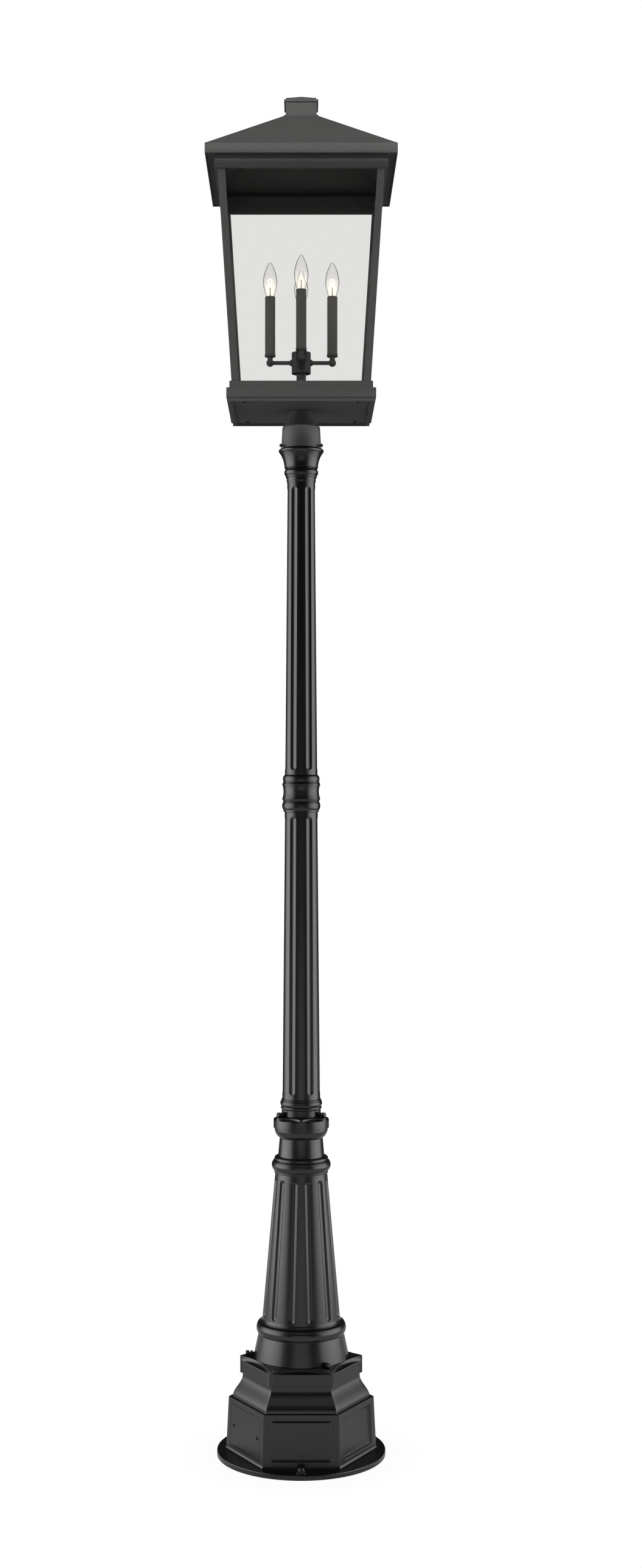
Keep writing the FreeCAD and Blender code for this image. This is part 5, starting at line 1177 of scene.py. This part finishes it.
def access_door():
    """Frames from the middle of the back, over the softened edges, to the middle of the front."""
    edge = softened((-DOOR_LAP, -DOOR_T), (0, -DOOR_T), (0, 0), (-DOOR_LAP, 0))
    plate = np.concatenate([[[-DOOR_W, -DOOR_T]], edge, [[-DOOR_W, 0]]])
    return [on_face(framed(plate, DOOR_W / 2, DOOR_H / 2), DOOR_FACE)]


def door_screws():
    """A turned screw whose domed head has a round drive recess."""
    foot = -DOOR_T - GASKET_T - DOOR_SCREW_REACH
    head, high = DOOR_SCREW_HEAD_R, DOOR_SCREW_HEAD_H
    recess = head * DRIVE_R
    screw = lathe(outline(
        (0, foot), (DOOR_SCREW_R, foot), (DOOR_SCREW_R, 0), (head, 0), (head, high * HEAD_RIM),
        (between((0, 0), (head, high), HEAD_ARC), (recess, high)),
        (recess, high * DRIVE_WALL), (0, high * DRIVE_FLOOR),
    ), FINE_COLUMNS)
    x = DOOR_W / 2 - DOOR_SCREW_EDGE
    return [on_face(moved(screw, x=side), DOOR_FACE) for side in (-x, x)]


# Post
def clamp_bolts(outer, spigot, seat, angles):
    """Bolts along the radius: a threaded shank, a jam nut and a hexagonal head."""
    z = seat + BOLT_LIFT + BOLT_FLATS / 2
    nut_x = outer + JAM_NUT_OFF
    head_x = nut_x + JAM_NUT_T + HEAD_OFF
    bolt = (
        threaded(BOLT_R, spigot + SLIP_GAP, head_x + HEAD_LAP, BOLT_PITCH, BOLT_THREAD),
        hex_bar(BOLT_FLATS, nut_x, nut_x + JAM_NUT_T),
        hex_bar(BOLT_FLATS, head_x, head_x + BOLT_HEAD_T),
    )
    return around([moved(along_x(grid), z=z) for grid in bolt], angles)


def pedestal_bolts():
    """Clamp bolts at the column's foot."""
    return clamp_bolts(SKIRT_R_FOOT, SKIRT_SPIGOT_R, Z_CROWN, PEDESTAL_BOLT_ANGLES)


def collar_bolts():
    """Clamp bolts at the lower shaft's foot."""
    return clamp_bolts(LOWER_NECK_R, LOWER_SPIGOT_R, Z_COLLAR, COLLAR_BOLT_ANGLES)


def fluted_column():
    """The column's outer profile, the six scoops of its collar, then its bore back down to the foot."""
    socket_r = SKIRT_SPIGOT_R + SLIP_GAP
    ledge = Z_CROWN + SKIRT_SPIGOT_H + SLIP_GAP
    taper = (TAPER_R_FOOT, Z_TAPER), (TAPER_R_TOP, Z_HIGH_LIP)
    foot, top = trimmed(*taper, COLUMN_FLUTE_FOOT, COLUMN_FLUTE_TOP)
    cove_r, cove_z = TAPER_R_FOOT + LOW_RING_COVE_W, Z_TAPER - LOW_RING_COVE_H
    lip_z = Z_HIGH_STEP + HIGH_STEP_H / 2
    side = softened(
        (socket_r, Z_CROWN), (SKIRT_R_FOOT, Z_CROWN), (SKIRT_R_TOP, Z_SKIRT),
        ((LOW_RING_R, Z_SKIRT + LOW_RING_PEAK), (cove_r + LOW_RING_LEDGE, cove_z)), (cove_r, cove_z),
        (between((TAPER_R_FOOT, cove_z), (cove_r, Z_TAPER), LOW_RING_COVE_ARC), (TAPER_R_FOOT, Z_TAPER)),
        *taper_rows(foot, top, COLUMN_FLUTE_W), (TAPER_R_TOP, Z_HIGH_LIP),
        (HIGH_LIP_R, Z_HIGH_LIP), (HIGH_LIP_R, Z_HIGH_RING),
        ((HIGH_RING_R, Z_HIGH_RING + HIGH_RING_H / 2), (HIGH_STEP_R, Z_HIGH_STEP)), (HIGH_STEP_R, lip_z),
        (between((NECK_R_FOOT, lip_z), (HIGH_STEP_R, Z_NECK), (DIAGONAL, DIAGONAL)), (NECK_R_FOOT, Z_NECK)),
        (NECK_R_TOP, Z_CUP),
        (between((NECK_R_TOP, Z_CUP), (CUP_R, Z_BAND), CUP_ARC), (CUP_R, Z_BAND - BAND_GROOVE)),
        (CUP_R, Z_BAND), (BAND_R, Z_BAND), (BAND_R, Z_BAND_RIM - 2 * RIM_EDGE),
    )
    rim, bow = cove(BAND_R, Z_BAND_RIM, BAND_SCOOP_H, BAND_SCOOP_BACK)
    spigot_top = Z_COLLAR + LOWER_SPIGOT_H
    bore = outline(
        (LOWER_SPIGOT_R, Z_COLLAR), (LOWER_SPIGOT_R, spigot_top), (COLUMN_BORE_R, spigot_top),
        (COLUMN_BORE_R, Z_HIGH_RING), (TAPER_R_TOP - TAPER_WALL, Z_HIGH_LIP),
        (TAPER_R_FOOT - TAPER_WALL, Z_TAPER), (TAPER_R_FOOT - TAPER_WALL, ledge),
        (socket_r, ledge), (socket_r, Z_CROWN),
    )
    profile, scoop = stacked((side, 0), (rim, bow), (bore, 0))
    flutes = COLUMN_FLUTES, 180.0 / COLUMN_FLUTES, COLUMN_FLUTE_W, COLUMN_FLUTE_DEPTH
    return [fluted(profile, *flutes, foot, top, scoop)]


def fluted_shaft(below, foot, top, above):
    """A closed profile with a taper between what is below and above it, and flutes along the taper."""
    low, high = trimmed(foot, top, SHAFT_FLUTE_END, SHAFT_FLUTE_END)
    profile = softened(*below, foot, *taper_rows(low, high, SHAFT_FLUTE_W), top, *above, closed=True)
    return [fluted(profile, SHAFT_FLUTES, 0.0, SHAFT_FLUTE_W, SHAFT_FLUTE_DEPTH, low, high)]


def lower_shaft():
    """A shaft above a neck with a bead, a ring and a step, and with a socket in its foot."""
    socket_r = LOWER_SPIGOT_R + SLIP_GAP
    ledge = Z_COLLAR + LOWER_SPIGOT_H + SLIP_GAP
    below = (
        (socket_r, Z_COLLAR), (LOWER_NECK_R, Z_COLLAR), (LOWER_NECK_R, Z_LOWER_BEAD),
        ((LOWER_BEAD_R, Z_LOWER_BEAD + LOWER_BEAD_H / 2), (LOWER_VALLEY_R, Z_LOWER_RING)),
        ((LOWER_RING_R, Z_LOWER_RING + LOWER_RING_H / 2), (LOWER_VALLEY_R, Z_LOWER_STEP)),
        (LOWER_STEP_R, Z_LOWER_STEP), (LOWER_STEP_R, Z_LOWER - LOWER_STEP_H / 2),
    )
    above = (LOWER_BORE_R, Z_MID), (LOWER_BORE_R, ledge), (socket_r, ledge)
    return fluted_shaft(below, (LOWER_R_FOOT, Z_LOWER), (LOWER_R_TOP, Z_MID), above)


def mid_collar():
    """Beads above and below a waist between two tips, with a spigot at each end."""
    low, high = Z_MID - MID_SPIGOT_H, Z_UPPER + MID_SPIGOT_H
    waist_z = (Z_MID_TIP + Z_MID_TIP_TOP) / 2
    bead_top = (Z_MID_TOP_BEAD + Z_UPPER) / 2
    return [rounded(
        (MID_BORE_R, low), (MID_LOW_SPIGOT_R, low), (MID_LOW_SPIGOT_R, Z_MID),
        (MID_STEP_R, Z_MID), (MID_STEP_R, Z_MID_BEAD),
        ((MID_BEAD_R, Z_MID_BEAD + MID_BEAD_H / 2), (MID_GROOVE_R, Z_MID_GROOVE)),
        (MID_TIP_R, Z_MID_TIP), ((MID_WAIST_R, waist_z), (MID_TIP_R, Z_MID_TIP_TOP)),
        (MID_GROOVE_R, Z_MID_TOP_BEAD),
        ((MID_TOP_BEAD_R, bead_top), (UPPER_R_FOOT + MID_TOP_STEP, Z_UPPER)),
        (MID_HIGH_SPIGOT_R, Z_UPPER), (MID_HIGH_SPIGOT_R, high), (MID_BORE_R, high),
    )]


def upper_shaft():
    """A shaft below a band, a lip and a bead, and with a socket in its foot."""
    ledge = Z_UPPER + MID_SPIGOT_H + SLIP_GAP
    above = (
        (UPPER_BAND_R, Z_UPPER_BAND + UPPER_BAND_H / 3), (UPPER_BAND_R, Z_UPPER_LIP),
        (UPPER_LIP_R, Z_UPPER_LIP), (UPPER_LIP_R, Z_UPPER_BEAD),
        ((UPPER_BEAD_R, Z_UPPER_BEAD + UPPER_BEAD_H / 2), (UPPER_GROOVE_R, Z_UPPER_GROOVE)),
        (UPPER_GROOVE_R, Z_CAPITAL), (UPPER_BORE_R, Z_CAPITAL),
        (UPPER_BORE_R, ledge), (UPPER_SOCKET_R, ledge),
    )
    below = ((UPPER_SOCKET_R, Z_UPPER),)
    return fluted_shaft(below, (UPPER_R_FOOT, Z_UPPER), (UPPER_R_TOP, Z_UPPER_BAND), above)


def post_capital():
    """A spigot, a lip, an arc that flares to the rounded rim, and the tenon's seat inside."""
    foot, seat = Z_CAPITAL - CAPITAL_SPIGOT_H, Z_CAPITAL_TOP - TENON_SEAT
    seat_r, rim_r = TENON_R + SLIP_GAP, CAPITAL_RIM_R - CAPITAL_RIM_ROUND
    lip, rim = (CAPITAL_LIP_R, Z_CAPITAL + CAPITAL_LIP_H), (rim_r, Z_CAPITAL_RIM)
    return [rounded(
        (WIRE_WAY_R, foot), (CAPITAL_SPIGOT_R, foot), (CAPITAL_SPIGOT_R, Z_CAPITAL),
        (UPPER_GROOVE_R, Z_CAPITAL), (CAPITAL_LIP_R, Z_CAPITAL + CAPITAL_LIP_H / 3), lip,
        (between(lip, rim, CAPITAL_FLARE_ARC), rim),
        ((CAPITAL_RIM_R, Z_CAPITAL_RIM + CAPITAL_RIM_H / 2), (rim_r, Z_CAPITAL_TOP)),
        (seat_r, Z_CAPITAL_TOP), (seat_r, seat), (WIRE_WAY_R, seat),
    )]


# Lantern
def post_fitter():
    """A socket that slips over the tenon, with an arc from its shoulder in to the neck."""
    shoulder, neck = (FITTER_R_SHOULDER, Z_FITTER_SHOULDER), (FITTER_NECK_R, Z_COVER)
    bend = between((FITTER_NECK_R, Z_FITTER_SHOULDER), (FITTER_R_SHOULDER, Z_COVER), FITTER_NECK_ARC)
    bore = STEM_R + THREAD_GAP
    return [rounded(
        (SOCKET_R, Z_FITTER), (FITTER_R_FOOT, Z_FITTER), shoulder, (bend, neck),
        (bore, Z_COVER), (bore, Z_TENON), (SOCKET_R, Z_TENON),
    )]


def fitter_screws():
    """A thread along the radius and a round head."""
    z = Z_FITTER + FITTER_SCREW_UP
    wall = tapered((FITTER_R_FOOT, Z_FITTER), (FITTER_R_SHOULDER, Z_FITTER_SHOULDER), z)
    foot = wall + FITTER_SCREW_OUT
    edge, top = foot + FITTER_SCREW_HEAD_H / 3, foot + FITTER_SCREW_HEAD_H
    run = TENON_R + TURN_GAP, foot + HEAD_LAP
    screw = (
        threaded(FITTER_SCREW_R, *run, FITTER_SCREW_PITCH, FITTER_SCREW_THREAD),
        domed(FITTER_SCREW_HEAD_R, foot, edge, top, FINE_COLUMNS),
    )
    return around([moved(along_x(grid), z=z) for grid in screw], COLLAR_BOLT_ANGLES)


def lantern_base():
    """The stepped profile from the middle of the tray's ceiling, under the rim and up to the deck."""
    inside = RIM_HALF - RIM_WALL
    tray, ceiling = inside - TRAY_WALL, Z_DECK - DECK_T
    return [square(
        (0, ceiling), (tray, ceiling), (tray, Z_TRAY), (inside, Z_TRAY), (inside, Z_RIM), (RIM_HALF, Z_RIM),
        (RIM_HALF, Z_TRAY), (TIER_HALF, Z_TRAY), (TIER_HALF, Z_TIER), (DECK_HALF, Z_TIER),
        (DECK_HALF, Z_DECK), (0, Z_DECK), reach=CAST_EDGE,
    )]


def corner_post():
    """The grooved section of the post at +X +Y, carried up its lean."""
    outer, inner = CAGE_HALF_FOOT, CAGE_HALF_FOOT - POST_SIDE
    near, far = (outer - PANE_IN + side * (GLASS_T / 2 + GLASS_GAP) for side in (-1, 1))
    deep = inner + GROOVE_DEPTH
    section = soften(np.array([
        (inner, inner), (near, inner), (near, deep), (far, deep), (far, inner), (outer, inner),
        (outer, outer), (inner, outer), (inner, far), (deep, far), (deep, near), (inner, near),
    ]), SHEET_EDGE)
    heights = np.array([Z_DECK, Z_FRIEZE])[:, None, None]
    plan = section + CAGE_SLOPE * (heights - Z_DECK)
    return np.concatenate([plan, np.broadcast_to(heights, (*plan.shape[:2], 1))], 2)


def frieze_ring():
    """A board round the top of the cage, with an upstand along its inner edge."""
    stand, high = FRIEZE_INNER + UPSTAND_WALL, Z_SOFFIT + UPSTAND_H
    return [square(
        (FRIEZE_INNER, Z_FRIEZE), (FRIEZE_HALF, Z_FRIEZE), (FRIEZE_HALF, Z_SOFFIT),
        (stand, Z_SOFFIT), (stand, high), (FRIEZE_INNER, high), closed=True,
    )]


def roof_sheets():
    """The section from the middle of the cap plate's underside, round the fascia and up the slope."""
    return [square(
        (0, Z_ROOF_CAP), (ROOF_INNER_TOP, Z_ROOF_CAP), (ROOF_INNER, Z_EAVE_INNER), (ROOF_INNER, Z_FASCIA),
        (ROOF_HALF, Z_FASCIA), (ROOF_HALF, Z_EAVE), (ROOF_TOP_HALF, Z_ROOF), (0, Z_ROOF),
    )]


def finial_neck():
    """A square block on a flange."""
    return [square(
        (0, Z_ROOF), (ROOF_TOP_HALF, Z_ROOF), (ROOF_TOP_HALF, Z_FINIAL),
        (FINIAL_HALF, Z_FINIAL), (FINIAL_HALF, Z_LID), (0, Z_LID),
    )]


def finial_cap():
    """A square lid with a low pyramid on it."""
    foot = Z_PYRAMID + PYRAMID_FOOT_H
    return [square(
        (0, Z_LID), (LID_HALF, Z_LID), (LID_HALF, Z_PYRAMID),
        (PYRAMID_HALF, Z_PYRAMID), (PYRAMID_HALF, foot), (0, foot + PYRAMID_RISE),
    )]


# Lamp cluster
def stem():
    """A tube from the fitter up into the hub."""
    return [tubular(STEM_R - STEM_WALL, STEM_R, Z_TENON + STEM_OFF, Z_HUB_COVER + STEM_IN_HUB)]


def stem_nuts():
    """Hexagons on the stem."""
    return [hex_bar(LOCKNUT_FLATS, z, z + LOCKNUT_H) for z in (Z_DECK, Z_HUB + HUB_LIP_H)]


def lamp_hub():
    """A round cup, open below."""
    bore, high = HUB_R - HUB_WALL, Z_HUB + HUB_H
    ceiling = high - HUB_WALL
    return [rounded(
        (0, ceiling), (bore, ceiling), (bore, Z_HUB),
        (HUB_R, Z_HUB), (HUB_R, high), (0, high), closed=False,
    )]


def hub_cover():
    """A round plate with a lip that goes into the hub."""
    bore, lip_r = STEM_R + THREAD_GAP, HUB_R - HUB_WALL - SLIP_GAP
    high = Z_HUB + HUB_LIP_H
    return [rounded(
        (bore, Z_HUB_COVER), (HUB_R, Z_HUB_COVER), (HUB_R, Z_HUB),
        (lip_r, Z_HUB), (lip_r, high), (bore, high),
    )]


def lamp_arms():
    """A turned tube with a collar, laid along the radius, a ball and an upright neck with a waist."""
    start, seat, collar = HUB_R - HUB_WALL - ARM_IN_HUB, HUB_R - TURNED_EDGE, HUB_R + ARM_COLLAR_L
    rod = along_x(rounded(
        (0, start), (ARM_R, start), (ARM_R, seat), (ARM_COLLAR_R, seat), (ARM_COLLAR_R, collar),
        (ARM_R, collar), (ARM_R, ARM_REACH), (0, ARM_REACH), closed=False,
    ))
    ball = lathe(outline((0, -ELBOW_R), ((ELBOW_R, 0), (0, ELBOW_R))))
    rim = (ELBOW_NECK_R, ELBOW_NECK_H)
    waist = between((0, 0), rim, ELBOW_WAIST)
    neck = lathe(outline((0, 0), (ELBOW_NECK_R, 0), (waist, rim), (0, ELBOW_NECK_H)))
    arm = rod, moved(ball, x=ARM_REACH), moved(neck, x=ARM_REACH)
    return around([moved(grid, z=Z_ARM) for grid in arm], LAMP_PLACES.values())


def candle_cups():
    """A shallow cup round the foot of each sleeve."""
    top, recess_r = Z_CUP_RING + CUP_RING_H, SLEEVE_R + SLIP_GAP
    return at_lamps(rounded(
        (ARM_BORE_R, Z_CUP_RING), (CUP_RING_R, Z_CUP_RING), (CUP_RING_R, top), (recess_r, top),
        (recess_r, Z_SLEEVE), (ARM_BORE_R, Z_SLEEVE), reach=FINE_EDGE,
    ))


def candle_sleeves():
    """A tube round each lampholder."""
    return at_lamps(tubular(SLEEVE_R - SLEEVE_WALL, SLEEVE_R, Z_SLEEVE, Z_SLEEVE_TOP))


def lamp_cap():
    """A rolled thread over a plain core, with the contact below."""
    foot = Z_CAP + CONTACT_H
    core = lathe(outline(
        (0, Z_CONTACT), (CONTACT_R, Z_CONTACT), (CONTACT_R, Z_CAP), (CAP_R - CAP_CORE, foot), (0, foot),
    ), FINE_COLUMNS)
    return core, threaded(CAP_R, foot - CAP_LAP, Z_LAMP, LAMP_PITCH, LAMP_THREAD)


def lamp_bulb():
    """The envelope's outer profile up to the tip, then its inner one back down to the neck."""

    def side(inset):
        tip, tip_z = LAMP_TIP_R - inset, Z_LAMP + LAMP_H - LAMP_TIP_R
        neck, widest = (LAMP_NECK_R - inset, Z_LAMP), (LAMP_R - inset, Z_LAMP + LAMP_WIDEST)
        edge = (tip * DIAGONAL, tip_z + tip * DIAGONAL)
        lower = between(neck, widest, LAMP_LOWER_ARC)
        upper = between((edge[0], widest[1]), (widest[0], edge[1]), LAMP_UPPER_ARC)
        return outline(neck, (lower, widest), (upper, edge), dome(*edge, tip_z + tip))

    outer, inner = side(0.0), side(LAMP_WALL)
    return (lathe(np.concatenate([outer, inner[::-1], outer[:1]]), BULB_COLUMNS),)


def lamp_filament():
    """A turned mount, and a wire up from it, over a half circle and back down."""
    top = Z_LAMP + MOUNT_H
    waist = between((0, Z_LAMP), (MOUNT_R, top), MOUNT_ARC)
    mount = lathe(outline(
        (0, Z_LAMP), (MOUNT_R, Z_LAMP), (waist, (MOUNT_R / 2, top)), (0, top),
    ), MOUNT_COLUMNS)
    half = np.linspace(np.pi, 0, ARCH_STEPS)
    arch = np.stack([LEAD_SPREAD * np.cos(half), 0 * half, top + LEAD_H + LEAD_SPREAD * np.sin(half)], 1)
    left, right = ([[side * MOUNT_R / 4, 0, top - LEAD_LAP]] for side in (-1, 1))
    return mount, wire(np.concatenate([left, arch, right]), LEAD_R)


pieces("post", "black_fastener", anchor_washers, anchor_nuts)
pieces("post", "post_paint", hex_pedestal)
pieces("door", "post_paint", access_door)
pieces("door", "black_fastener", door_screws)
pieces("post", "post_paint", fluted_column)
pieces("post", "black_fastener", pedestal_bolts, collar_bolts)
pieces("post", "post_paint", lower_shaft, mid_collar, upper_shaft, post_capital)
pieces("lantern", "lantern_paint", post_fitter)
pieces("lantern", "black_fastener", fitter_screws)
pieces("lantern", "lantern_paint", lantern_base)
for number, angle in enumerate(FOUR_SIDES, 1):
    name = "corner_post_" + str(number)
    piece(name, [at_angle(corner_post(), angle)], "lantern", "lantern_paint", name, fill=True)
pieces("lantern", "lantern_paint", frieze_ring)
piece("roof_sheets", roof_sheets(), "roof", "lantern_paint", "roof_slopes", "roof_fascia", "roof_cap")
pieces("roof", "lantern_paint", finial_neck, finial_cap)
pieces("lantern", "lantern_paint", stem)
pieces("lantern", "zinc_steel", stem_nuts)
pieces("lantern", "lantern_paint", lamp_hub, hub_cover, lamp_arms, candle_cups)
pieces("lantern", "candle_paint", candle_sleeves)
lamp = {lamp_cap: "lamp_brass", lamp_bulb: "lamp_glass", lamp_filament: "filament_wire"}
for place, angle in LAMP_PLACES.items():
    for make, slot in lamp.items():
        name = make.__name__ + "_" + place
        grids = around([moved(grid, x=ARM_REACH) for grid in make()], [angle])
        piece(name, grids, "lamp_" + place, slot, name)

# The other solids keep their shapes
slots = {part["node"]: part["material_slot"] for part in frame["record"]["subparts"]}
for name, solid in frame["nodes"].items():
    solid.data.materials.clear()
    solid.data.materials.append(finishes[slots[name]])


# Stage
def softbox(name, at, aim, width, height, power, glossy, spread=180.0, diffuse=True):
    """A soft rectangular lamp that faces a point, and may be kept from gloss or from matt surfaces."""
    lamp = bpy.data.lights.new(name, "AREA")
    lamp.shape = "RECTANGLE"
    lamp.size, lamp.size_y, lamp.energy = width, height, power
    lamp.spread = math.radians(spread)
    made = placed(name, lamp)
    made.location = at
    made.rotation_euler = (Vector(at) - Vector(aim)).to_track_quat("Z", "Y").to_euler()
    made.visible_camera = False
    made.visible_diffuse, made.visible_glossy, made.visible_transmission = diffuse, glossy, False


softbox("low_left", (-2.49, -0.25, 1.0), (0, 0, 1.0), 3.4, 2.4, 41.4, True, spread=110.0, diffuse=False)
softbox("low_right", (2.49, -0.25, 1.0), (0, 0, 1.0), 3.4, 2.4, 36.0, True, spread=110.0, diffuse=False)
softbox("high_left", (-2.49, -0.25, 2.8), (0, 0, 2.8), 3.4, 1.2, 20.6, True, spread=110.0)
softbox("high_right", (2.49, -0.25, 2.8), (0, 0, 2.8), 3.4, 1.2, 18.0, True, spread=110.0)
softbox("low_card", (0.0, -4.2, 0.35), (0, 0, 0.35), 3.0, 0.7, 10.5, True, diffuse=False)
softbox("roof_key", (0.0, -1.046, 3.381), (0, -0.2, 3.073), 0.6, 0.285, 0.9, False, spread=2.0)
softbox("cage_key", (0.0, -1.069, 2.873), (0, -0.2, 2.64), 0.5, 0.506, 0.49, False, spread=2.0)
softbox("base_top", (0.0, -1.5, 1.75), (0, 0, 0.3), 1.6, 0.5, 0.6, True, spread=90.0)
softbox("front_fill", (0.0, -4.5, 2.6), (0, 0, 2.0), 4.0, 3.0, 25.0, False)
softbox("back_key", (0.0, 3.2, 3.5), (0, 0, 2.7), 2.0, 1.2, 100.0, False)


def seen_straight(tree, path):
    """One where the camera sees the surface, plainly or through glass."""
    turns = maths(tree, "ADD", path["Diffuse Depth"], path["Glossy Depth"])
    through = maths(tree, "MULTIPLY", path["Is Transmission Ray"], maths(tree, "LESS_THAN", turns, 0.5))
    return maths(tree, "MAXIMUM", path["Is Camera Ray"], through)


def floor_finish():
    """Pale floor: white to the camera, with a little of its own shade near the foot, and dim to surfaces.

    In their gloss it grows white towards the front, and ends some way from the foot.
    """
    made, tree, shader = material("pale_floor")
    where = spot(tree)
    away = node(tree, "VectorMath", {0: where}, operation="LENGTH")["Value"]
    path = node(tree, "LightPath")
    tone = maths(tree, "ADD", maths(tree, "MULTIPLY", path["Is Diffuse Ray"], -FLOOR_DIM), FLOOR_TONE)
    feed(tree, shader, {"Base Color": tone, "Roughness": 0.9})
    front = ramp(tree, node(tree, "SeparateXYZ", {0: where})["Y"], *FLOOR_FRONT)
    mirrored = maths(tree, "MULTIPLY", front, ramp(tree, away, *FLOOR_NEAR, FLOOR_MIRRORED, 0.0))
    mirrored = maths(tree, "MULTIPLY", path["Is Glossy Ray"], mirrored)
    seen = maths(tree, "MAXIMUM", mirrored, seen_straight(tree, path))
    fade = ramp(tree, away, *FLOOR_SHADE, 1.0, "SMOOTHSTEP")
    white = node(tree, "Emission", {"Color": WHITE})[0]
    show(tree, maths(tree, "MULTIPLY", fade, seen), shader.outputs[0], white)
    return made


def floor():
    """A disc: rings of falling radius at height zero."""
    mesh = mesh_of("floor", [lathe(np.array([[radius, 0.0] for radius in FLOOR_RINGS]))])
    mesh.materials.append(floor_finish())
    made = placed("floor", mesh)


def surroundings():
    """White to the camera and through glass, dim to surfaces, and dimmer still to their gloss."""
    world = bpy.data.worlds.new("studio")
    bpy.context.scene.world = world
    world.use_nodes = True
    tree = world.node_tree
    path = node(tree, "LightPath")
    plain = feed(tree, tree.nodes["Background"], {"Color": WHITE, "Strength": WORLD_LIGHT})[0]
    gloss = node(tree, "Background", {"Color": WHITE, "Strength": WORLD_GLOSS})[0]
    white = node(tree, "Background", {"Color": WHITE})[0]
    dim = node(tree, "MixShader", {0: path["Is Glossy Ray"], 1: plain, 2: gloss})[0]
    show(tree, seen_straight(tree, path), dim, white, "World Output")


def camera():
    """The photograph's view of the post: level, at half its height."""
    lens = bpy.data.cameras.new("camera")
    lens.sensor_fit = "AUTO"
    lens.sensor_width = SENSOR
    lens.lens = SENSOR * FOCAL_LENGTH / PHOTO_H
    lens.shift_x = AXIS_OFF / PHOTO_H
    lens.clip_end = 50.0
    made = placed("camera", lens)
    made.location = CAMERA_AT
    made.rotation_euler = (math.radians(90), 0, 0)
    bpy.context.scene.camera = made


floor()
surroundings()
camera()
bpy.context.scene.view_settings.view_transform = "Standard"
